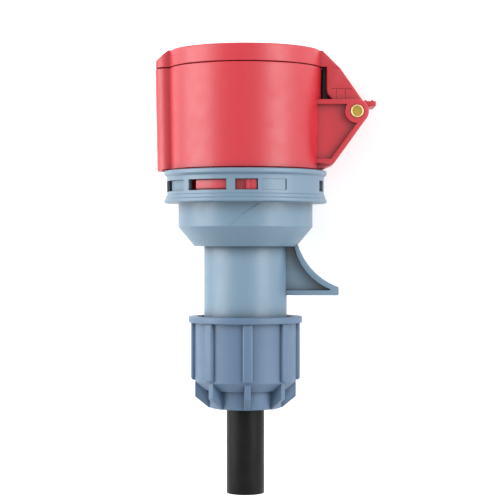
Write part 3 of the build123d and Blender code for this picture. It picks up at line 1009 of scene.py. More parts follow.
@dataclass(frozen=True)
class Banded:
    """Two-coloured insulation of the earth core, in stripes along the core.

    Attributes:
        name: Name of the material.
        first: Linear colour of the broad stripes.
        second: Linear colour of the other stripes.
        stripes: Scale of the stripes, for coordinates in metres.
        waviness: How much the stripes wander.
        border: Values of the wave between which the colours change.
        grain: Size of the grain in millimetres.
        depth: Height of the grain in millimetres.
        roughness: Least and greatest roughness.
    """

    name: str
    first: Colour
    second: Colour
    stripes: float = 90.0
    waviness: float = 0.4
    border: Point = (0.47, 0.53)
    grain: float = 0.4
    depth: float = 0.01
    roughness: Point = (0.38, 0.5)

    def build(self) -> bpy.types.Material:
        """Makes the material.

        Returns:
            The material.
        """
        g = Graph(bpy.data.materials.new(self.name))
        where = g.where()
        wave = g.add(
            "ShaderNodeTexWave", Vector=where, Scale=self.stripes, Distortion=self.waviness
        )
        share = g.remap(wave.outputs["Fac"], 0.0, 1.0, *self.border)
        fine = g.noise(where, self.grain, 3)
        rough = g.remap(fine, *self.roughness)
        return g.surface(g.blend(self.first, self.second, share), rough, fine, self.depth)


@dataclass
class Palette:
    """All the finishes of the connector: one for each slot, and the rivet's worn faces."""

    made: dict[Slot, bpy.types.Material] = field(default_factory=dict)
    worn_brass: Optional[bpy.types.Material] = None

    def insulation(self, name: str, colour: Colour) -> Moulded:
        """Finish of a core's insulation in one colour."""
        return Moulded(name, colour, roughness=0.42, grain=0.4, depth=0.01, painted_edge_highlight=0.05)

    def build(self) -> "Palette":
        """Makes each finish once.

        Returns:
            The same palette.
        """
        # The moulded finishes below paint shade into crevices and a highlight onto sharp edges.
        finishes: dict[Slot, Moulded | Rubber | Metal | Banded] = {
            Slot.RED: Moulded(
                "signal_red_plastic",
                (0.59, 0.010, 0.026),
                roughness=0.40,
                grain=0.5,
                depth=0.008,
                flow=0.04,
                painted_edge_highlight=0.10,
                specular=0.86,
                painted_crevice_shade=0.55,
                reach=4.0,
            ),
            Slot.GREY: Moulded(
                "blue_grey_plastic",
                (0.16, 0.268, 0.365),
                roughness=0.42,
                grain=0.5,
                depth=0.009,
                flow=0.04,
                painted_edge_highlight=0.10,
                specular=0.9,
                painted_crevice_shade=0.72,
                reach=7.0,
            ),
            Slot.NUT: Moulded(
                "slate_blue_plastic",
                (0.112, 0.19, 0.308),
                roughness=0.45,
                grain=0.45,
                depth=0.010,
                flow=0.05,
                painted_edge_highlight=0.12,
                specular=0.6,
                painted_crevice_shade=0.62,
                reach=4.0,
            ),
            Slot.INSERT: Moulded(
                "black_carrier_plastic",
                (0.022, 0.022, 0.024),
                roughness=0.5,
                grain=0.35,
                depth=0.012,
                flow=0.08,
                painted_edge_highlight=0.05,
                specular=0.4,
            ),
            Slot.SEAL: Rubber(
                "seal_rubber",
                (0.025, 0.025, 0.027),
                roughness=0.6,
                lines=0.9,
                depth=0.012,
                dust=0.16,
            ),
            Slot.SHEATH: Rubber(
                "cable_sheath_rubber",
                (0.004, 0.004, 0.0044),
                roughness=0.42,
                lines=0.55,
                depth=0.02,
                dust=0.06,
                specular=0.16,
            ),
            Slot.BRASS: Metal(
                "turned_brass",
                (0.86, 0.66, 0.32),
                (0.55, 0.42, 0.18),
                roughness=0.28,
            ),
            Slot.STEEL: Metal(
                "drawn_spring_steel",
                (0.62, 0.62, 0.63),
                (0.38, 0.37, 0.36),
                roughness=0.3,
            ),
            Slot.COPPER: Metal(
                "bare_copper",
                (0.86, 0.44, 0.28),
                (0.50, 0.24, 0.14),
                roughness=0.32,
            ),
            Slot.BROWN: self.insulation("brown_insulation", (0.10, 0.035, 0.014)),
            Slot.BLACK: self.insulation("black_insulation", (0.012, 0.012, 0.012)),
            Slot.PALE: self.insulation("grey_insulation", (0.22, 0.23, 0.24)),
            Slot.BLUE: self.insulation("blue_insulation", (0.012, 0.09, 0.38)),
            Slot.EARTH: Banded("green_yellow_insulation", (0.04, 0.28, 0.05), (0.75, 0.62, 0.02)),
        }
        self.made = {slot: finish.build() for slot, finish in finishes.items()}
        worn = Metal("worn_brass", (0.43, 0.305, 0.066), (0.27, 0.225, 0.05), roughness=0.42)
        self.worn_brass = worn.build()
        return self

    def of(self, slot: Slot) -> bpy.types.Material:
        """The finish of a slot."""
        return self.made[slot]


# Sub-assemblies


@dataclass
class Hinge:
    """Pin axis that the bracket, the lid's arm, the rivet and the spring share."""

    x: float = 46.7
    z: float = 24.1
    pin_r: float = 2.0
    play: float = 0.05
    boss_r: float = 5.0
    hub_r: float = 3.9
    half_width: float = 12.0
    cheek_in: float = 8.4
    cheek_out: float = 9.3

    def axis(self, y: float) -> Matrix:
        """Placement of a form turned around the pin, with its height along -Y from a given Y."""
        return Matrix.Translation((self.x, y, self.z)) @ Matrix.Rotation(radians(90), 4, "X")

    def centre(self) -> Point:
        """The pin in the side view."""
        return self.x, self.z

    def bore_r(self) -> float:
        """Radius of the holes around the pin."""
        return self.pin_r + self.play


@dataclass
class FrontHousing:
    """Red collar with its keyway bulge, the skirt inside the ring, and the hinge bracket."""

    bench: Bench
    palette: Palette
    hinge: Hinge
    collar_r: float = 32.55
    collar_h: float = 42.65
    draft: float = 1.1
    mouth_r: float = 29.2
    floor_z: float = 3.0
    bore_r: float = 26.45
    reach: float = 38.2
    key_half_w: float = KEY_HALF_W
    key_corner: float = 5.2
    slot_reach: float = 35.5
    slot_half_w: float = 4.5
    slot_corner: float = 1.0
    skirt_r: float = 31.0
    skirt_wall: float = 2.3
    skirt_depth: float = 11.0
    rim_round: float = 0.55
    toe: Point = (36.9, 2.0)
    flange: float = 2.1
    rib: float = 1.7
    tab_clear_r: float = 8.1
    foot_r: float = 34.8
    foot_drop: float = 0.7
    foot_steps: int = 20
    mouth_round: float = 0.4
    round_steps: int = 5
    root_in: float = 1.6
    bracket_edge: float = 0.45
    counterbore_r: float = 2.95
    near_collar: float = 4.0
    collar_clear: float = 1.2
    gap_starts: Point = (-45.5, 134.5)
    gap_span: float = 5.8
    gap_heights: Point = (-9.7, -4.8)
    block_top: float = -5.1
    rib_starts: Point = (-39.5, 140.5)
    rib_span: float = 25.9
    rib_foot: float = -9.0
    nub_foot: float = -9.4

    def outer(self, z: float, back: float = 0.0) -> Row:
        """Level of the collar's outside, set back by a distance from its drafted surface."""
        d = (self.collar_h - z) * tan(radians(self.draft)) + back
        return keyed_row(self.collar_r - d, z, self.reach - d, self.key_half_w - d, self.key_corner)

    def inner(self, z: float, out: float = 0.0) -> Row:
        """Level of the mouth's inside, widened by a distance."""
        key = self.slot_reach + out, self.slot_half_w + out, self.slot_corner + out
        return keyed_row(self.mouth_r + out, z, *key)

    def shell(self) -> bpy.types.Object:
        """Collar, mouth, floor and skirt as one skin.

        Returns:
            The collar.
        """
        rows = [self.outer(-0.3, 0.4), self.outer(0.1)]
        top, low = self.collar_h, -self.skirt_depth
        rows += [self.outer(z) for z in (12.0, 24.0, 36.0, top - self.rim_round)]
        rim = quarter_round(self.rim_round, self.round_steps)
        rows += [self.outer(top - drop, back) for drop, back in rim[1:]]
        lip = quarter_round(self.mouth_round, self.round_steps)
        rows += [self.inner(top - drop, out) for drop, out in reversed(lip)]
        rows += [self.inner(z) for z in (30.0, 15.0, self.floor_z + 0.5)]
        rows.append(self.inner(self.floor_z, -0.4))
        for r, z in (
            (self.bore_r + 0.2, self.floor_z),
            (self.bore_r, self.floor_z - 0.2),
            (self.bore_r, 0.0),
            (self.skirt_r - self.skirt_wall, 0.0),
            (self.skirt_r - self.skirt_wall, low + 0.3),
            (self.skirt_r - self.skirt_wall + 0.3, low),
            (self.skirt_r - 0.3, low),
            (self.skirt_r, low + 0.3),
            (self.skirt_r, 0.0),
        ):
            rows.append(keyed_row(r, z))
        shell = self.bench.loft("collar_shell", rows)
        for start in self.gap_starts:
            end = start + self.gap_span
            walls = self.skirt_r - 4, self.skirt_r + 0.6
            self.bench.cut(
                shell, self.bench.ring_block("gap", *walls, start, end, *self.gap_heights)
            )
        return shell

    def bulge_foot(self) -> bpy.types.Object:
        """Foot of the keyway bulge, which hangs a little over the ring's edge.

        Returns:
            The foot.
        """
        rows = []
        shown = [i for i, p in enumerate(self.outer(0.0)) if p.xy.length > self.foot_r + 0.1]
        for z, back in ((0.4, 0.0), (0.15 - self.foot_drop, 0.0), (-self.foot_drop, 0.12)):
            outline = self.outer(0.0, back)
            far = [(outline[i].x, outline[i].y) for i in shown]
            start = atan2(far[0][1], far[0][0])
            end = atan2(far[-1][1], far[-1][0]) + 2 * pi
            steps = self.foot_steps
            turns = [end + (start - end) * i / steps for i in range(steps + 1)]
            near = [(self.foot_r * cos(a), self.foot_r * sin(a)) for a in turns]
            rows.append([Vector((x, y, z)) for x, y in far + near])
        return self.bench.loft("bulge_foot", rows, closed=False)

    def bracket_root(self) -> float:
        """X at which the bracket starts, inside the collar's wall."""
        return self.mouth_r - self.root_in

    def bracket_outline(self) -> list[Point]:
        """Side view of the bracket: from the collar to the boss around the pin.

        Returns:
            Its corners, anticlockwise.
        """
        root = self.bracket_root()
        top = self.hinge.z + self.hinge.boss_r
        points = [(root, top), (root, self.toe[1]), self.toe]
        return hull(points + circle(self.hinge.centre(), self.hinge.boss_r, 72))

    def into_collar(self, outline: Sequence[Point], back: float) -> list[Point]:
        """Moves the outline's points near the collar further into it."""
        limit = self.mouth_r + self.near_collar
        return [(x - back if x < limit else x, z) for x, z in outline]

    def bracket(self) -> bpy.types.Object:
        """Two cheeks with flanged edges, joined by a sloping rib.

        Returns:
            The bracket.
        """
        h, b = self.hinge, self.bench
        outline = self.bracket_outline()
        block = b.slab("bracket", outline, -h.half_width, h.half_width, self.bracket_edge)
        pocket = self.into_collar(inset(outline, self.flange), 3)
        boss = circle(h.centre(), h.boss_r, 96)
        for low, high in ((-h.half_width - 1, -h.cheek_out), (h.cheek_out, h.half_width + 1)):
            tool = b.slab("pocket", pocket, low, high)
            b.cut(block, b.cut(tool, b.slab("boss", boss, low - 1, high + 1)))
        room = self.into_collar(inset(outline, self.rib), 4)
        clear = self.tab_clear_r
        swing = circle(h.centre(), clear, 96)
        above = rectangle(self.mouth_r, h.x + clear, h.z, h.z + 2 * clear)
        for shape in (room, swing, above):
            b.cut(block, b.slab("room", shape, -h.cheek_in, h.cheek_in))
        seat, deep = h.half_width - self.bracket_edge, 15
        for profile, y in (
            (rectangle(AXIS_R, h.bore_r(), 0, 2 * deep), deep),
            (rectangle(AXIS_R, self.counterbore_r, seat, deep), 0),
            (rectangle(AXIS_R, self.counterbore_r, -deep, -seat), 0),
        ):
            b.cut(block, b.turned("bore", profile, 72, h.axis(y)))
        root, (toe_x, toe_z) = self.bracket_root(), self.toe
        sole = [
            (root, 0),
            (self.skirt_r + 1, 0),
            (toe_x, toe_z),
            (toe_x, toe_z + self.rib),
            (root, toe_z + self.rib),
        ]
        foot = b.slab("foot", sole, -h.cheek_out, h.cheek_out, 0.3)
        mouth = rectangle(AXIS_R, self.mouth_r + self.collar_clear, -9, 60)
        for piece in (block, foot):
            b.cut(piece, b.turned("mouth", mouth, 128))
        return b.join("hinge_bracket", [block, foot])

    def window_blocks(self) -> list[bpy.types.Object]:
        """Bayonet ribs and the latch nub, which show in the ring's windows.

        Returns:
            The blocks.
        """
        blocks = [
            ("bayonet_rib", 0.9, start, start + self.rib_span, self.rib_foot, 0.25)
            for start in self.rib_starts
        ]
        blocks += [
            ("latch_nub", 1.5, 0.7, 3.6, self.nub_foot, 0.25),
            ("latch_nub_mid", 1.2, 3.6, 4.5, self.nub_foot, 0.0),
            ("latch_nub_end", 1.5, 4.5, 8.5, self.nub_foot, 0.25),
        ]
        inner, top = self.skirt_r - 1, self.block_top
        return [
            self.bench.ring_block(name, inner, self.skirt_r + proud, start, end, foot, top, edge)
            for name, proud, start, end, foot, edge in blocks
        ]

    def build(self) -> None:
        """Builds and dresses the red front."""
        b, red = self.bench, self.palette.of(Slot.RED)
        b.finish(self.shell(), Body.HOUSING, Slot.RED, red, ["front_housing"])
        b.finish(self.bulge_foot(), Body.HOUSING, Slot.RED, red)
        b.finish(self.bracket(), Body.HOUSING, Slot.RED, red)
        b.finish(b.join("window_blocks", self.window_blocks()), Body.HOUSING, Slot.RED, red)


@dataclass
class Lid:
    """Sprung lid: cap, hollow arm down to the pin, thumb tab and the sealing ring."""

    bench: Bench
    palette: Palette
    hinge: Hinge
    radius: float = 32.4
    reach: float = 38.05
    foot_z: float = 42.95
    height: float = 7.25
    wall: float = 1.4
    top_t: float = 2.6
    seal_w: float = 2.6
    seat_z: float = 46.4
    edge: float = 0.8
    edge_steps: int = 6
    key_half_w: float = KEY_HALF_W
    key_corner: float = 5.2
    middle_r: float = 0.004
    hollow_edge: float = 0.15
    slope_half_w: float = 9.0
    slope_start: float = 32.4
    slope_drop: float = 4.4
    arm_half_w: float = 8.1
    arm_wall: float = 1.8
    arm_skin: float = 2.0
    gap_x: float = 34.1
    arm_foot_z: float = 30.4
    arm_round: float = 3.0
    arm_break: Point = (40.0, 42.3)
    fork_half_w: float = 2.7
    coil_room_r: float = 3.8
    groove_depth: float = 0.16
    strip_half_w: float = 5.2
    ridge_r: float = 0.5
    ridge_backs: Point = (1.6, 4.4)
    seal_heights: Point = (42.8, 46.35)
    tab_tip: float = 54.9
    tab_top: float = 28.6
    tab_t: float = 2.2

    def cap_row(self, z: float, back: float = 0.0) -> Row:
        """Level of the cap's outside, set back from its edge."""
        key = self.reach - back, self.key_half_w - back, self.key_corner - back
        return keyed_row(self.radius - back, z, *key)

    def hollow_row(self, z: float, back: float) -> Row:
        """Level inside the cap, set back from its edge."""
        key = self.reach - back, self.key_half_w - back, KEY_HOLLOW_R - back
        return keyed_row(self.radius - back, z, *key)

    def disc_row(self, radius: float, z: float) -> Row:
        """Round level with as many points as the others, at any radius."""
        return keyed_row(radius, z, half_width=min(self.key_half_w, 0.2 * radius))

    def cap(self) -> bpy.types.Object:
        """Cap with a rounded top edge, a slope at the keyway and a hollow below.

        Returns:
            The cap.
        """
        top = self.foot_z + self.height
        rows = [self.cap_row(self.foot_z, 0.2), self.cap_row(self.foot_z + 0.2)]
        rows.append(self.cap_row(self.foot_z + 1.8))
        rows.append(self.cap_row(top - self.edge))
        edge = quarter_round(self.edge, self.edge_steps)
        rows += [self.cap_row(top - drop, back) for drop, back in edge[1:]]
        rows.append(self.cap_row(top, 1.2))
        rows += [self.disc_row(r, top) for r in (26.0, 18.0, 9.0, 2.0, self.middle_r)]
        under = top - self.top_t
        hollow = self.radius - self.wall - self.seal_w
        ceiling = [(self.middle_r, under), (18.0, under), (hollow - 0.3, under)]
        ceiling += [(hollow, under - 0.3), (hollow, self.seat_z)]
        rows += [self.disc_row(r, z) for r, z in ceiling]
        w, out = self.wall, self.hollow_edge
        rows += [self.hollow_row(z, w) for z in (self.seat_z, self.foot_z + out)]
        key = self.reach - w + out, self.key_half_w + out - w, KEY_HOLLOW_R - w
        rows.append(keyed_row(self.radius - w + out, self.foot_z, *key))
        start, end = self.slope_start, self.reach + 2
        low = top - self.slope_drop * (end - start) / (self.reach - start)
        slope = [(-start, top), (-end, low), (-end, top + 2), (-start, top + 2)]
        cap, half = self.bench.loft("lid_cap", rows), self.slope_half_w
        return self.bench.cut(cap, self.bench.slab("slope", slope, -half, half))

    def arm(self) -> bpy.types.Object:
        """Hollow arm from the cap to the hub, open towards the collar.

        Returns:
            The arm.
        """
        h, b = self.hinge, self.bench
        gap, foot, bend = self.gap_x, self.arm_foot_z, self.arm_round
        low = [
            (gap, self.foot_z + 0.3),
            (gap, foot + bend),
            (gap + 0.12 * bend, foot + 0.4 * bend),
            (gap + 0.4 * bend, foot + 0.1 * bend),
            (gap + 0.75 * bend, foot - 0.5),
            self.arm_break,
        ]
        shape = hull(low + circle(h.centre(), h.hub_r + 1.0, 72))
        top = self.foot_z + self.height - 0.3
        shoulder = [
            (gap, self.foot_z - 0.02),
            self.arm_break,
            (self.radius, top),
            (self.radius - 3, top - 0.5),
            (self.radius - 3, self.foot_z),
        ]
        inner = inset(shape, self.arm_skin)
        (break_x, break_z), skin = self.arm_break, self.arm_skin
        mouth = [
            (gap, break_z + break_x - gap - sqrt(2) * skin),
            (gap, self.foot_z),
            (gap - 1, self.foot_z),
            (gap - 1, h.z - 2 * h.hub_r),
            (h.x, h.z - 2 * h.hub_r),
            (h.x, h.z),
            (break_x - skin, break_z - 2 * skin),
            (break_x - 0.9 * skin, break_z - 0.7 * skin),
        ]
        wall = self.arm_half_w - self.arm_wall
        arm = b.slab("arm", shape, -self.arm_half_w, self.arm_half_w, 0.4)
        b.cut(arm, b.slab("hollow", inner, -wall, wall), b.slab("hollow", mouth, -wall, wall))
        half, fork, deep = self.arm_half_w, self.fork_half_w, self.groove_depth
        for y in (-half, half):
            for outline in (
                rectangle(35.8, 44.6, 33.6, 33.9),
                rectangle(37.95, 38.25, 29.4, 33.7),
                rectangle(41.8, 42.1, 27.4, 33.7),
            ):
                b.cut(arm, b.slab("groove", outline, y - deep, y + deep))
        cap_link = b.slab("shoulder", shoulder, -half, half, 0.35)
        hub = rectangle(h.bore_r(), h.hub_r, 0, half - fork)
        hubs = [b.turned("hub", hub, 96, h.axis(y)) for y in (half, -fork)]
        axis_r = 0.01
        bore = b.turned("bore", rectangle(axis_r, h.bore_r(), 0, 20), 64, h.axis(10))
        room = rectangle(axis_r, self.coil_room_r, 0, 2 * fork)
        b.cut(arm, bore, b.turned("coil", room, 64, h.axis(fork)))
        return b.join("lid_arm", [arm, cap_link, *hubs])

    def tab(self) -> bpy.types.Object:
        """Thumb tab behind the hub, with two grip ridges.

        Returns:
            The tab.
        """
        b, h = self.bench, self.hinge
        root = h.x + h.pin_r + 0.6
        foot = self.tab_top - self.tab_t
        outline = rounded(
            [
                (root, self.tab_top),
                (root, foot - 1.1),
                (root + 3.6, foot),
                (self.tab_tip, foot),
                (self.tab_tip, self.tab_top),
            ],
            [0, 0, 1.2, 0.45, 0.45],
        )
        solids = [b.slab("tab", outline, -self.arm_half_w, self.arm_half_w, 0.35)]
        half = self.arm_half_w - 0.5
        for back in self.ridge_backs:
            ridge = circle((self.tab_tip - back, self.tab_top), self.ridge_r, 24)
            solids.append(b.slab("ridge", ridge, -half, half, 0.12))
        return b.join("thumb_tab", solids)

    def gap_shade_strip(self) -> bpy.types.Object:
        """Black strip in the seal's rubber finish, in the arm's open side next to the collar: a
        dark piece that paints the shade in that gap.
        """
        strip = [(32.4, 28.7), (32.65, 42.4), (32.65, 42.9), (35.2, 42.9), (35.2, 28.7)]
        half = self.strip_half_w
        return self.bench.slab("arm_gap_shade_strip", strip, -half, half, 0.25)

    def seal(self) -> bpy.types.Object:
        """Rubber ring inside the cap.

        Returns:
            The ring.
        """
        low, high = self.seal_heights
        outer, inner, far = self.wall + 0.05, self.wall + 1.2, self.wall + self.seal_w
        profile = [
            (outer, low + 0.3),
            (outer, high),
            (far, high),
            (far, low + 0.3),
            (far - 0.3, low),
            (inner + 0.5, low),
            (inner, low + 0.35),
            (inner - 0.35, low + 0.35),
            (outer + 0.45, low),
            (outer + 0.2, low),
        ]
        rows = [self.hollow_row(z, back) for back, z in profile]
        return self.bench.loft("lid_seal_ring", rows)

    def build(self) -> None:
        """Builds and dresses the lid."""
        b, red = self.bench, self.palette.of(Slot.RED)
        b.finish(self.cap(), Body.LID, Slot.RED, red, ["lid"])
        b.finish(self.arm(), Body.LID, Slot.RED, red)
        b.finish(self.tab(), Body.LID, Slot.RED, red)
        b.finish(self.seal(), Body.LID, Slot.SEAL, self.palette.of(Slot.SEAL), ["lid_seal"])
        # Painted shade: the black strip stands for the shade in the gap between arm and collar.
        b.finish(self.gap_shade_strip(), Body.LID, Slot.SEAL, self.palette.of(Slot.SEAL))


@dataclass
class HingeHardware:
    """Hollow brass rivet and the torsion spring around it."""

    bench: Bench
    palette: Palette
    hinge: Hinge
    head_r: float = 2.8
    head_t: float = 0.7
    sunk: float = 0.5
    recess_r: float = 2.05
    recess_depth: float = 0.62
    wire_r: float = 0.4
    coil_r: float = 2.9
    pitch: float = 1.1
    turns: float = 3.228
    lid_leg: float = 9.0
    lid_angle: float = 123.0
    collar_r: float = 32.55
    coil_steps: int = 120

    def head_foot(self) -> float:
        """Distance from the connector's middle to the underside of a rim."""
        return self.hinge.half_width - self.sunk + 0.05

    def both_ends(
        self, name: str, profile: Sequence[Point], steps: int
    ) -> list[bpy.types.Object]:
        """The same turned form at both ends of the pin.

        Args:
            name: Name of the pieces.
            profile: Points as radius and distance from the connector's middle.
            steps: Divisions around the pin.

        Returns:
            The two pieces.
        """
        mirrored = [[(r, side * z) for r, z in profile] for side in (1, -1)]
        return [self.bench.turned(name, half, steps, self.hinge.axis(0)) for half in mirrored]

    def rivet(self) -> bpy.types.Object:
        """Rivet with a rolled rim at both ends.

        Returns:
            The rivet.
        """
        h = self.hinge
        reach = self.head_foot()
        tip = reach + self.head_t
        half = rounded(
            [
                (h.pin_r, 0.5),
                (h.pin_r, reach),
                (self.head_r, reach),
                (self.head_r - 0.1, tip),
                (self.recess_r, tip),
                (self.recess_r, tip - self.recess_depth),
                (AXIS_R, tip - self.recess_depth),
                (AXIS_R, 0.5),
            ],
            [0, 0, 0.25, 0.3, 0.25, 0.05, 0, 0],
        )
        ends = self.both_ends("rivet_end", half, 64)
        middle = rectangle(AXIS_R, h.pin_r, -1, 1)
        shank = self.bench.turned("rivet_shank", middle, 64, h.axis(0))
        return self.bench.join("hinge_rivet", [*ends, shank])

    def core(self) -> bpy.types.Object:
        """Dull faces in the middle of both rims.

        Returns:
            The faces.
        """
        face = self.head_foot() + self.head_t - self.recess_depth
        half = rectangle(AXIS_R, self.recess_r - 0.02, face - 0.2, face + 0.02)
        return self.bench.join("rivet_faces", self.both_ends("face", half, 48))

    def spring(self) -> bpy.types.Object:
        """Coil with one leg up the arm and one to the collar's wall.

        Returns:
            The spring.
        """
        h = self.hinge
        height = self.turns * self.pitch
        start = radians(self.lid_angle - 90)
        end = start - 2 * pi * self.turns
        steps = self.coil_steps

        def at(angle: float, y: float) -> Vector:
            """Point of the coil."""
            return Vector((h.x + self.coil_r * cos(angle), y, h.z + self.coil_r * sin(angle)))

        first = at(start, height / 2)
        leg = Vector((cos(radians(self.lid_angle)), 0, sin(radians(self.lid_angle))))
        path = [first + leg * self.lid_leg, first + leg * 0.4 * self.lid_leg]
        for i in range(steps + 1):
            a = start - 2 * pi * self.turns * i / steps
            path.append(at(a, height / 2 - height * i / steps))
        last = path[-1]
        out = Vector((sin(end), 0, -cos(end)))
        run = (h.x - self.collar_r - 2 * self.wire_r) / max(0.2, abs(out.x))
        path += [last + out * 0.5 * run, last + out * run]
        return self.bench.wire("torsion_spring", path, self.wire_r, 14)

    def build(self) -> None:
        """Builds and dresses rivet and spring."""
        b, p = self.bench, self.palette
        b.finish(self.rivet(), Body.HOUSING, Slot.BRASS, p.of(Slot.BRASS), ["hinge_pin"])
        b.finish(self.core(), Body.HOUSING, Slot.BRASS, p.worn_brass)
        b.finish(self.spring(), Body.HOUSING, Slot.STEEL, p.of(Slot.STEEL), ["hinge_spring"], 60)


@dataclass
class ContactCarrier:
    """Black carrier in the mouth with its five sockets."""

    bench: Bench
    palette: Palette
    radius: float = 25.5
    face_z: float = 41.8
    foot_r: float = 26.4
    floor_z: float = 3.0
    flange_r: float = 28.4
    flange_t: float = 3.0
    tail_r: float = 24.0
    tail: float = 13.5
    circle_r: float = 17.5
    setback: float = 2.8
    depth: float = 27.0
    wall: float = 1.2
    rear: float = 12.0
    play: float = 0.3
    sleeve_gap: float = 0.05
    axis_r: float = 0.05
    floor_gap: float = 0.05
    chamfer: float = 0.4
    ring: Point = (1.3, 1.8)
    ring_depth: float = 0.35
    coring: Point = (4.2, 7.2)
    coring_depth: float = 6.0
    countersink: float = 0.45
    socket_edge: float = 0.15

    def places(self) -> list[tuple[str, Point, float]]:
        """Where the sockets sit, with the earth towards -X.

        Returns:
            Node name, centre and bore radius of each socket.
        """
        names = ("contact_l1", "contact_l2", "contact_pe", "contact_l3", "contact_n")
        result = []
        for place, name in enumerate(names):
            a = radians(180 + 72 * (place - 2))
            bore = 3.5 if name == "contact_pe" else 2.5
            result.append((name, (self.circle_r * cos(a), self.circle_r * sin(a)), bore))
        return result

    def drill(self, centre: Point, profile: Sequence[Point], steps: int = 64) -> bpy.types.Object:
        """Turned tool or sleeve at a socket's centre."""
        return self.bench.turned("drill", profile, steps, Matrix.Translation((*centre, 0)))

    def entry(self, bore: float) -> list[Point]:
        """Hole for a socket: chamfered entry, then the room for its sleeve.

        Args:
            bore: Radius of the socket's bore.

        Returns:
            Profile of the tool that cuts it.
        """
        face, above, below = self.face_z, self.face_z + 1, -self.tail - 1
        mouth = bore + self.play
        sleeve = bore + self.wall + self.sleeve_gap
        step_z = face - self.setback
        return [
            (AXIS_R, above),
            (mouth + 1 + self.chamfer, above),
            (mouth + self.chamfer, face),
            (mouth, face - self.chamfer),
            (mouth, step_z),
            (sleeve, step_z),
            (sleeve, below),
            (AXIS_R, below),
        ]

    def carrier(self) -> bpy.types.Object:
        """Carrier with chamfered entries, a shallow ring around each and a coring in the middle.

        Returns:
            The carrier.
        """
        b, face, above = self.bench, self.face_z, self.face_z + 1
        shelf = -self.floor_gap - self.flange_t
        profile = rounded(
            [
                (self.axis_r, face),
                (self.radius, face),
                (self.radius, self.floor_z),
                (self.foot_r, self.floor_z),
                (self.foot_r, -self.floor_gap),
                (self.flange_r, -self.floor_gap),
                (self.flange_r, shelf),
                (self.tail_r, shelf),
                (self.tail_r, -self.tail),
                (self.axis_r, -self.tail),
            ],
            [0, 0.6, 0, 0.2, 0, 0.4, 0.4, 0, 0.5, 0],
        )
        body = b.turned("carrier", profile)
        for _, centre, bore in self.places():
            inner, outer = (bore + self.play + out for out in self.ring)
            ring = rectangle(inner, outer, above, face - self.ring_depth)
            b.cut(body, self.drill(centre, self.entry(bore)), self.drill(centre, ring))
        middle = rectangle(*self.coring, above, face - self.coring_depth)
        return b.cut(body, b.turned("coring", middle))

    def sockets(self) -> None:
        """Turned brass sockets with a countersunk entry."""
        b, brass = self.bench, self.palette.of(Slot.BRASS)
        for name, centre, bore in self.places():
            front = self.face_z - self.setback
            outer = bore + self.wall
            profile = [
                (bore + self.countersink, front),
                (outer - self.socket_edge, front),
                (outer, front - self.socket_edge),
                (outer, -self.rear),
                (self.axis_r, -self.rear),
                (self.axis_r, front - self.depth),
                (bore, front - self.depth),
                (bore, front - self.countersink),
            ]
            piece = self.drill(centre, profile, 72)
            piece.name = name.replace("contact", "socket")
            b.finish(piece, Body.HOUSING, Slot.BRASS, brass, [name])

    def build(self) -> None:
        """Builds and dresses the carrier and its sockets."""
        black = self.palette.of(Slot.INSERT)
        self.bench.finish(self.carrier(), Body.HOUSING, Slot.INSERT, black, ["socket_insert"])
        self.sockets()


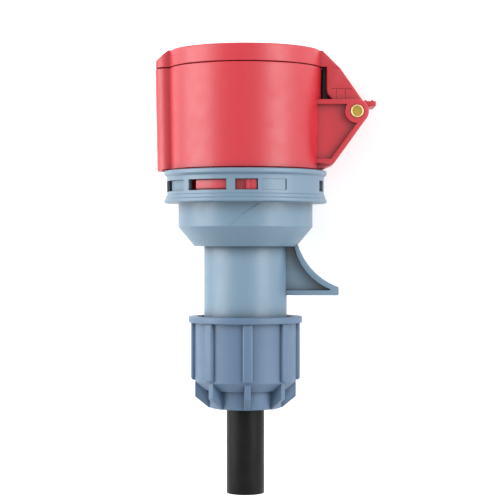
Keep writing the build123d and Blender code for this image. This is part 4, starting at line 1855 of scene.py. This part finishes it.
@dataclass
class RearHousing:
    """Grey housing: bayonet ring with windows, body, cone, threaded neck and the hook."""

    bench: Bench
    palette: Palette
    bore_r: float = 31.3
    flange_r: float = 34.5
    band_r: float = 33.3
    top_z: float = -0.6
    upper_t: float = 2.6
    step_z: float = -10.8
    step: float = 0.5
    band_foot: float = -12.7
    lower_t: float = 1.5
    body_r: float = 28.5
    body_foot: float = -24.3
    cone_foot_r: float = 21.6
    cone_foot: float = -32.5
    neck_r: float = 17.55
    neck_foot: float = -80.0
    neck_bore: float = 14.6
    wall: float = 2.5
    ledge: float = -12.2
    window_top: float = -5.0
    window_foot: float = -9.5
    thread_top: float = -64.5
    thread_pitch: float = 2.5
    thread_depth: float = 0.75
    thread_flank: float = 6.0
    thread_lead_in: float = 1.2
    thread_gap: float = 0.02
    hook_tip: Point = (39.4, -49.67)
    hook_foot: float = -53.1
    hook_plate: float = 2.1
    hook_half_w: float = 4.5
    hook_web: float = 0.8
    hook_centre: Point = (48.74, -23.6)
    hook_r: float = 27.7
    recess_centre: Point = (45.1, -27.3)
    recess_r: float = 25.1
    arc_steps: int = 28
    arrow_steps: int = 12

    def shell(self) -> bpy.types.Object:
        """Ring, body and cone, with the windows cut.

        Returns:
            The shell.
        """
        b = self.bench
        profile = rounded(
            [
                (self.bore_r, self.top_z),
                (self.flange_r, self.top_z),
                (self.flange_r, self.top_z - self.upper_t + 0.9),
                (self.band_r, self.top_z - self.upper_t),
                (self.band_r, self.step_z),
                (self.band_r + self.step, self.step_z - 0.3),
                (self.band_r + self.step, self.band_foot + 0.4),
                (self.flange_r, self.band_foot),
                (self.flange_r, self.band_foot - self.lower_t),
                (self.body_r, self.band_foot - self.lower_t),
                (self.body_r, self.body_foot),
                (self.cone_foot_r, self.cone_foot),
                (self.neck_r - 1, self.cone_foot),
                (self.neck_bore, self.cone_foot + self.wall),
                (self.cone_foot_r - self.wall, self.cone_foot + self.wall),
                (self.body_r - self.wall, self.body_foot + 0.4 * self.wall),
                (self.body_r - self.wall, self.ledge),
                (self.bore_r, self.ledge),
            ],
            [0.3, 0.65, 0.6, 0.3, 0.12, 0.2, 0.3, 0.35, 0.5, 0.4, 0.9, 0.5, 0, 0, 0, 0, 0, 0],
            6,
        )
        shell = b.turned("rear_shell", profile, 288)
        through = self.bore_r - 1
        spans = [
            (-84.0, -71.5, through),
            (-44.3, -13.2, through),
            (135.7, 166.8, through),
            (-7.1, 9.0, through),
            (68.2, 78.0, through),
            (29.8, 30.4, through),
            (-71.5, -49.8, self.band_r - 1.0),
            (11.9, 30.4, self.band_r - 0.2),
        ]
        low, high, outer = self.window_foot, self.window_top, self.flange_r + 1
        for start, end, inner in spans:
            b.cut(shell, b.ring_block("window", inner, outer, start, end, low, high))
        return shell

    def neck(self) -> bpy.types.Object:
        """Neck under the cone, with a foot that blends into it.

        Returns:
            The neck.
        """
        core = self.neck_r - self.thread_depth
        profile = rounded(
            [
                (self.neck_bore, self.cone_foot + 1.5),
                (self.neck_r - 0.5, self.cone_foot + 1.5),
                (self.neck_r, self.cone_foot - 0.2),
                (self.neck_r, self.thread_top),
                (core, self.thread_top - 0.7),
                (core, self.neck_foot),
                (self.neck_bore, self.neck_foot),
            ],
            [0, 0, 0, 0, 0, 0.3, 0.3],
        )
        return self.bench.turned("cable_neck_tube", profile, 192)

    def thread(self) -> bpy.types.Object:
        """Trapezoid thread on the neck, under the nut.

        Returns:
            The thread.
        """
        around, per_pitch = 120, 10
        low = self.neck_foot + 1.0
        high = self.thread_top - 0.9
        levels = int((high - low) / self.thread_pitch * per_pitch)
        rows = []
        for level in range(levels + 1):
            z = low + (high - low) * level / levels
            ends = max(
                0.0, min(1.0, (z - low) / self.thread_lead_in, (high - z) / self.thread_lead_in)
            )
            row = []
            for i in range(around):
                a = 2 * pi * i / around
                phase = (z / self.thread_pitch - i / around) % 1.0
                lift = min(1.0, max(0.0, 2.0 - abs(phase - 0.5) * self.thread_flank))
                r = self.neck_r - self.thread_depth * (1 - lift * ends) - self.thread_gap
                row.append(Vector((r * cos(a), r * sin(a), z)))
            rows.append(row)
        inner = circle((0, 0), self.neck_r - self.thread_depth - 0.5, around)
        rows += [[Vector((x, y, z)) for x, y in inner] for z in (high, low)]
        return self.bench.loft("neck_thread", rows)

    def arc(self, centre: Point, radius: float, end: Point) -> list[Point]:
        """Arc of the hook from inside the cone down to a point on it.

        Args:
            centre: Centre of the arc.
            radius: Its radius.
            end: Its lower end.

        Returns:
            The arc's points.
        """
        start = pi + asin((centre[1] - self.cone_foot - 0.6) / radius)
        stop = pi + asin(min(1.0, (centre[1] - end[1]) / radius))
        steps = self.arc_steps
        turns = [start + (stop - start) * i / steps for i in range(steps + 1)]
        return [(centre[0] + radius * cos(a), centre[1] + radius * sin(a)) for a in turns]

    def hook(self) -> bpy.types.Object:
        """Curved flange and foot plate joined by a thin web.

        Returns:
            The hook.
        """
        b = self.bench
        root, foot = self.neck_r - 0.8, self.hook_foot
        top, plate = self.cone_foot + 0.6, self.hook_foot + self.hook_plate
        tip_x, tip_z = self.hook_tip
        cx, cz = self.recess_centre
        corner = (cx - sqrt(self.recess_r**2 - (plate - cz) ** 2), plate)
        outer = self.arc(self.hook_centre, self.hook_r, self.hook_tip)
        inner = self.arc(self.recess_centre, self.recess_r, corner)
        inner[-3:] = rounded([inner[-4], corner, (root, plate)], [0, 1.2, 0])[1:-1]
        tip = [outer[-2], (tip_x, tip_z), (tip_x, foot), (root, foot)]
        tip = rounded(tip, [0, 0.3, 0.35, 0])[1:-1]
        frame = [*outer[:-1], *tip, (root, foot), (root, plate), *reversed(inner)]
        middle = self.arc(self.recess_centre, self.recess_r - 0.7, corner)
        web = [(root, foot + 0.5), (corner[0], foot + 0.5), *reversed(middle), (root, top)]
        w = self.hook_half_w
        solids = [
            b.slab("web", web, -self.hook_web, self.hook_web),
            b.slab("frame", frame, -w, w, 0.65),
        ]
        return b.join("hook", solids)

    def arrow(self) -> bpy.types.Object:
        """Raised line of the turning arrow on the body, in two strokes.

        Returns:
            The line.
        """
        b = self.bench
        strokes = []
        edge = [(-0.3, -0.32), (0.06, -0.32), (0.15, -0.1)]
        section = edge + [(proud, -rise) for proud, rise in reversed(edge)]
        outline = [(self.body_r + proud, rise) for proud, rise in section]
        for (a0, z0), (a1, z1) in (
            ((-13.6, -23.9), (-4.6, -20.5)),
            ((-2.4, -19.6), (11.5, -15.0)),
        ):
            rows: list[Row] = []
            for i in range(self.arrow_steps + 1):
                t = i / self.arrow_steps
                a, z = radians(a0 + (a1 - a0) * t - 90), z0 + (z1 - z0) * t
                rows.append([Vector((r * cos(a), r * sin(a), z + rise)) for r, rise in outline])
            strokes.append(b.loft("stroke", rows, closed=False))
        return b.join("turning_arrow", strokes)

    def build(self) -> None:
        """Builds and dresses the rear housing."""
        b, grey = self.bench, self.palette.of(Slot.GREY)
        b.finish(self.shell(), Body.HOUSING, Slot.GREY, grey, ["rear_housing"])
        b.finish(self.neck(), Body.HOUSING, Slot.GREY, grey, ["cable_neck"])
        b.finish(self.thread(), Body.HOUSING, Slot.GREY, grey)
        b.finish(self.hook(), Body.HOUSING, Slot.GREY, grey, ["pull_hook"])
        b.finish(self.arrow(), Body.HOUSING, Slot.GREY, grey)


@dataclass
class GlandNut:
    """Gland nut with a rim, ribs over a barrel and a hub with radial fins."""

    bench: Bench
    palette: Palette
    top_z: float = -62.0
    rim_r: float = 24.1
    rim_h: float = 2.75
    mouth_r: float = 20.5
    mouth_depth: float = 5.0
    panel_r: float = 21.5
    panel_foot: float = -89.4
    bevel_r: float = 17.5
    bevel_foot: float = -93.0
    hub_r: float = 15.3
    foot_z: float = -100.8
    exit_r: float = 9.2
    exit_h: float = 5.0
    cone_r: float = 10.6
    cone_top_r: float = 13.6
    shoulder_z: float = -83.2
    bore_r: float = 17.75
    count: int = 8
    angle: float = 2.7
    rib_r: float = 23.1
    rib_w: float = 4.1
    rib_foot: float = -89.1
    fin_r: float = 21.4
    fin_w: float = 2.5
    fin_knee: float = -96.05
    fin_foot_r: float = 15.6

    def barrel(self) -> bpy.types.Object:
        """Turned part of the nut.

        Returns:
            The barrel.
        """
        profile = rounded(
            [
                (self.mouth_r, self.top_z),
                (self.rim_r, self.top_z),
                (self.rim_r, self.top_z - self.rim_h),
                (self.panel_r, self.top_z - self.rim_h),
                (self.panel_r, self.panel_foot),
                (self.bevel_r, self.bevel_foot),
                (self.hub_r, self.bevel_foot),
                (self.hub_r, self.foot_z),
                (self.exit_r, self.foot_z),
                (self.exit_r, self.foot_z + self.exit_h),
                (self.cone_r, self.foot_z + self.exit_h),
                (self.cone_top_r, self.shoulder_z),
                (self.bore_r, self.shoulder_z),
                (self.bore_r, self.top_z - self.mouth_depth),
                (self.mouth_r, self.top_z - self.mouth_depth),
            ],
            [0.3, 0.55, 0.45, 0.3, 0.5, 0.2, 0.3, 0.45, 0.5, 0, 0, 0, 0, 0, 0],
        )
        return self.bench.turned("nut_barrel", profile, 224)

    def ribs(self) -> list[bpy.types.Object]:
        """Ribs over the barrel and fins around the hub.

        Returns:
            The ribs and fins.
        """
        b = self.bench
        solids = []
        rib_root, fin_root = self.panel_r - 1.6, self.hub_r - 0.4
        rib_top = self.top_z - self.rim_h + 0.4
        rib = rounded(
            [
                (rib_root, rib_top),
                (self.rib_r, rib_top),
                (self.rib_r, self.rib_foot + 0.1),
                (rib_root, self.rib_foot + 0.1),
            ],
            [0, 0, 1.1, 0],
        )
        fin = rounded(
            [
                (fin_root, self.rib_foot),
                (self.fin_r, self.rib_foot),
                (self.fin_r, self.fin_knee),
                (self.fin_foot_r, self.foot_z),
                (fin_root, self.foot_z),
            ],
            [0, 0, 0.5, 0.2, 0],
        )
        for place in range(self.count):
            turn = self.angle - 90 + 360 * place / self.count
            solids.append(b.slab("rib", rib, -self.rib_w / 2, self.rib_w / 2, 0.75, turn))
            solids.append(b.slab("fin", fin, -self.fin_w / 2, self.fin_w / 2, 0.35, turn))
        return solids

    def build(self) -> None:
        """Builds and dresses the nut."""
        b = self.bench
        whole = b.join("gland_nut_body", [self.barrel(), *self.ribs()])
        b.finish(whole, Body.NUT, Slot.NUT, self.palette.of(Slot.NUT), ["gland_nut"])


@dataclass
class Cable:
    """Cut stub of the rubber cable, with its cores and their copper strands."""

    bench: Bench
    palette: Palette
    radius: float = 8.0
    squeeze: float = 0.3
    end_z: float = -137.1
    grip_z: float = -95.0
    top_z: float = -58.0
    core_r: float = 1.75
    play: float = 0.05
    strand_r: float = 0.16
    strand_t: float = 0.4
    layers: tuple[tuple[int, float], ...] = ((1, 0.0), (6, 0.36), (12, 0.72))

    def core_circle(self) -> float:
        """Radius of the circle on which the five cores' axes lie."""
        return (self.core_r + self.play) / sin(radians(36))

    def sheath(self) -> bpy.types.Object:
        """Outer sheath, a little narrower where the gland grips it.

        Returns:
            The sheath.
        """
        inner = self.core_circle() + self.core_r + self.play
        gripped = self.radius - self.squeeze
        profile = rounded(
            [
                (inner, self.end_z),
                (self.radius, self.end_z),
                (self.radius, self.grip_z),
                (gripped, self.grip_z),
                (gripped, self.top_z),
                (inner, self.top_z),
            ],
            [0.2, 0.35, 0.2, 0, 0.2, 0.2],
        )
        return self.bench.turned("sheath_tube", profile, 128)

    def filler(self) -> bpy.types.Object:
        """Rubber filling between the cores, just inside the cut.

        Returns:
            The filling.
        """
        low, high = self.end_z + 0.5, self.end_z + 1.5
        outer = self.core_circle() + self.core_r + 0.02
        return self.bench.turned("filler_plug", rectangle(AXIS_R, outer, low, high), 96)

    def strands(self) -> bpy.types.Object:
        """Ends of the fine copper strands in the five cores.

        Returns:
            The strands.
        """
        ring, axis_r, top = self.core_circle(), 0.01, self.end_z + self.strand_t
        profile = [
            (axis_r, self.end_z),
            (self.strand_r - 0.04, self.end_z),
            (self.strand_r, self.end_z + 0.05),
            (self.strand_r, top),
            (axis_r, top),
        ]
        solids = []
        for core in range(5):
            a = radians(180 + 72 * (core - 2))
            x, y = ring * cos(a), ring * sin(a)
            for layer, (count, radius) in enumerate(self.layers):
                for i in range(count):
                    t = 2 * pi * i / count + 0.26 * layer
                    where = Matrix.Translation((x + radius * cos(t), y + radius * sin(t), 0))
                    solids.append(self.bench.turned("strand", profile, 10, where))
        return self.bench.join("copper_strands", solids)

    def build(self) -> None:
        """Builds and dresses the cable."""
        b, p = self.bench, self.palette
        b.finish(self.sheath(), Body.HOUSING, Slot.SHEATH, p.of(Slot.SHEATH), ["cable_sheath"])
        b.finish(self.filler(), Body.HOUSING, Slot.SHEATH, p.of(Slot.SHEATH))
        b.finish(self.strands(), Body.HOUSING, Slot.COPPER, p.of(Slot.COPPER), smooth=50)


@dataclass
class CarriedNodes:
    """CAD nodes that stay as they are and only get a finish."""

    palette: Palette
    frame: dict[str, Any]
    finishes: dict[str, Slot] = field(
        default_factory=lambda: {
            "terminal_screws": Slot.STEEL,
            "ring_seal": Slot.SEAL,
            "slip_washer": Slot.STEEL,
            "clamp_collet": Slot.INSERT,
            "gland_seal": Slot.SEAL,
            "core_brown": Slot.BROWN,
            "core_black": Slot.BLACK,
            "core_earth": Slot.EARTH,
            "core_grey": Slot.PALE,
            "core_blue": Slot.BLUE,
            "conductors": Slot.COPPER,
        }
    )

    def build(self) -> None:
        """Dresses each node."""
        for name, slot in self.finishes.items():
            node = self.frame["nodes"][name]
            material = self.palette.of(slot)
            if not node.data.materials:
                node.data.materials.append(material)
            for place in node.material_slots:
                place.material = material
            log.info("%s: %s", name, material.name)


@dataclass
class Studio:
    """Camera at the photograph's angle, pale floor and soft lamps on both sides.

    Attributes:
        bench: Placement of the connector.
        distance: Camera distance from the connector's axis.
        centre: X and Z of the middle of the view, in the connector's frame.
        view_width: Width that the view covers at the axis.
        sensor: Width of the camera's sensor.
        aim: Point that the lamps face, in the connector's frame.
        floor_half: Half the floor's width in metres.
        floor_glow: The floor's own light on the connector, and as the camera sees it.
        world_glow: The same for the surroundings.
    """

    bench: Bench
    distance: float = 690.0
    centre: Point = (1.95, -34.0)
    view_width: float = 212.5
    sensor: float = 36.0
    aim: Colour = (0, 0, -30)
    floor_half: float = 3.0
    floor_glow: Point = (0.15, 0.6)
    world_glow: Point = (0.5, 1.0)

    def camera(self) -> None:
        """Sets up the camera."""
        data = bpy.data.cameras.new("camera")
        data.sensor_width = self.sensor
        data.lens = self.sensor * self.distance / self.view_width
        data.clip_start = 0.01
        camera = add_object("camera", data)
        place = self.bench.place.to_3x3().normalized()
        right, back, up = place.col[0], -place.col[1], place.col[2]
        turn = Matrix((right, up, back)).transposed().to_4x4()
        spot = self.bench.point(self.centre[0], -self.distance, self.centre[1])
        camera.matrix_world = Matrix.Translation(spot) @ turn
        bpy.context.scene.camera = camera

    def lamp(self, name: str, spot: Vector, aim: Vector, size: Point, power: float) -> None:
        """Adds one soft rectangular lamp.

        Args:
            name: Name of the lamp.
            spot: Its place in metres.
            aim: Point that it faces.
            size: Width and height in metres.
            power: Power in watts.
        """
        data = bpy.data.lights.new(name, "AREA")
        data.shape = "RECTANGLE"
        data.size, data.size_y = size
        data.energy = power
        back = (spot - aim).normalized()
        side = Vector((0, 1, 0)).cross(back).normalized()
        turn = Matrix((side, back.cross(side), back)).transposed().to_4x4()
        add_object(name, data).matrix_world = Matrix.Translation(spot) @ turn

    def glow(self, g: Graph, low: float, high: float) -> bpy.types.NodeSocket:
        """Strength that differs between the light on the connector and what is seen.

        Args:
            g: Nodes of the floor or the surroundings.
            low: Strength for other rays.
            high: Strength that is seen and mirrored.

        Returns:
            The strength.
        """
        rays = g.add("ShaderNodeLightPath").outputs
        share = rays["Is Camera Ray"]
        for name in ("Is Glossy Ray", "Is Transmission Ray"):
            share = g.math("MAXIMUM", share, rays[name])
        return g.remap(share, low, high)

    def floor(self) -> None:
        """Pale floor that shows nearly white and keeps a faint shadow."""
        mesh, half = bmesh.new(), self.floor_half
        corners = rectangle(-half, half, -half, half)
        mesh.faces.new([mesh.verts.new((x, y, 0)) for x, y in corners])
        floor = add_mesh("studio_floor", mesh)
        g = Graph(bpy.data.materials.new("pale_floor"))
        base = g.add("ShaderNodeBsdfDiffuse", Color=(0.86, 0.86, 0.87, 1))
        strength = self.glow(g, *self.floor_glow)
        light = g.add("ShaderNodeEmission", Color=(1, 1, 1, 1), Strength=strength)
        both = g.add("ShaderNodeAddShader")
        for socket, shader in zip(both.inputs, (base, light)):
            g.feed(socket, shader.outputs[0])
        floor.data.materials.append(g.close(both, "ShaderNodeOutputMaterial"))

    def world(self) -> None:
        """Even pale surroundings, seen as white."""
        g = Graph(bpy.data.worlds.new("studio_world"))
        strength = self.glow(g, *self.world_glow)
        back = g.add("ShaderNodeBackground", Color=(1, 1, 1, 1), Strength=strength)
        bpy.context.scene.world = g.close(back, "ShaderNodeOutputWorld")

    def build(self) -> None:
        """Sets up camera, floor, lamps and surroundings."""
        bpy.context.scene.view_settings.view_transform = "Standard"
        self.camera()
        self.floor()
        self.world()
        aim = self.bench.point(*self.aim)
        left = self.bench.point(-715, -190, 140)
        right = self.bench.point(655, -390, 140)
        self.lamp("left_lamp", left, aim, (0.70, 0.9), 6.1)
        self.lamp("right_lamp", right, aim, (0.78, 0.9), 6.8)


def main() -> None:
    """Builds the sub-assemblies in order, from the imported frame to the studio."""
    logging.basicConfig(level=logging.INFO, format="%(message)s")
    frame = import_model()
    bench = Bench.from_record(frame["record"], INSERT_MIDDLE)
    palette = Palette().build()
    hinge = Hinge()
    parts: list[Any] = [
        FrontHousing(bench, palette, hinge),
        Lid(bench, palette, hinge),
        HingeHardware(bench, palette, hinge),
        ContactCarrier(bench, palette),
        RearHousing(bench, palette),
        GlandNut(bench, palette),
        Cable(bench, palette),
        CarriedNodes(palette, frame),
        Studio(bench),
    ]
    for part in parts:
        log.info("building %s", type(part).__name__)
        part.build()


if __name__ == "__main__":
    main()
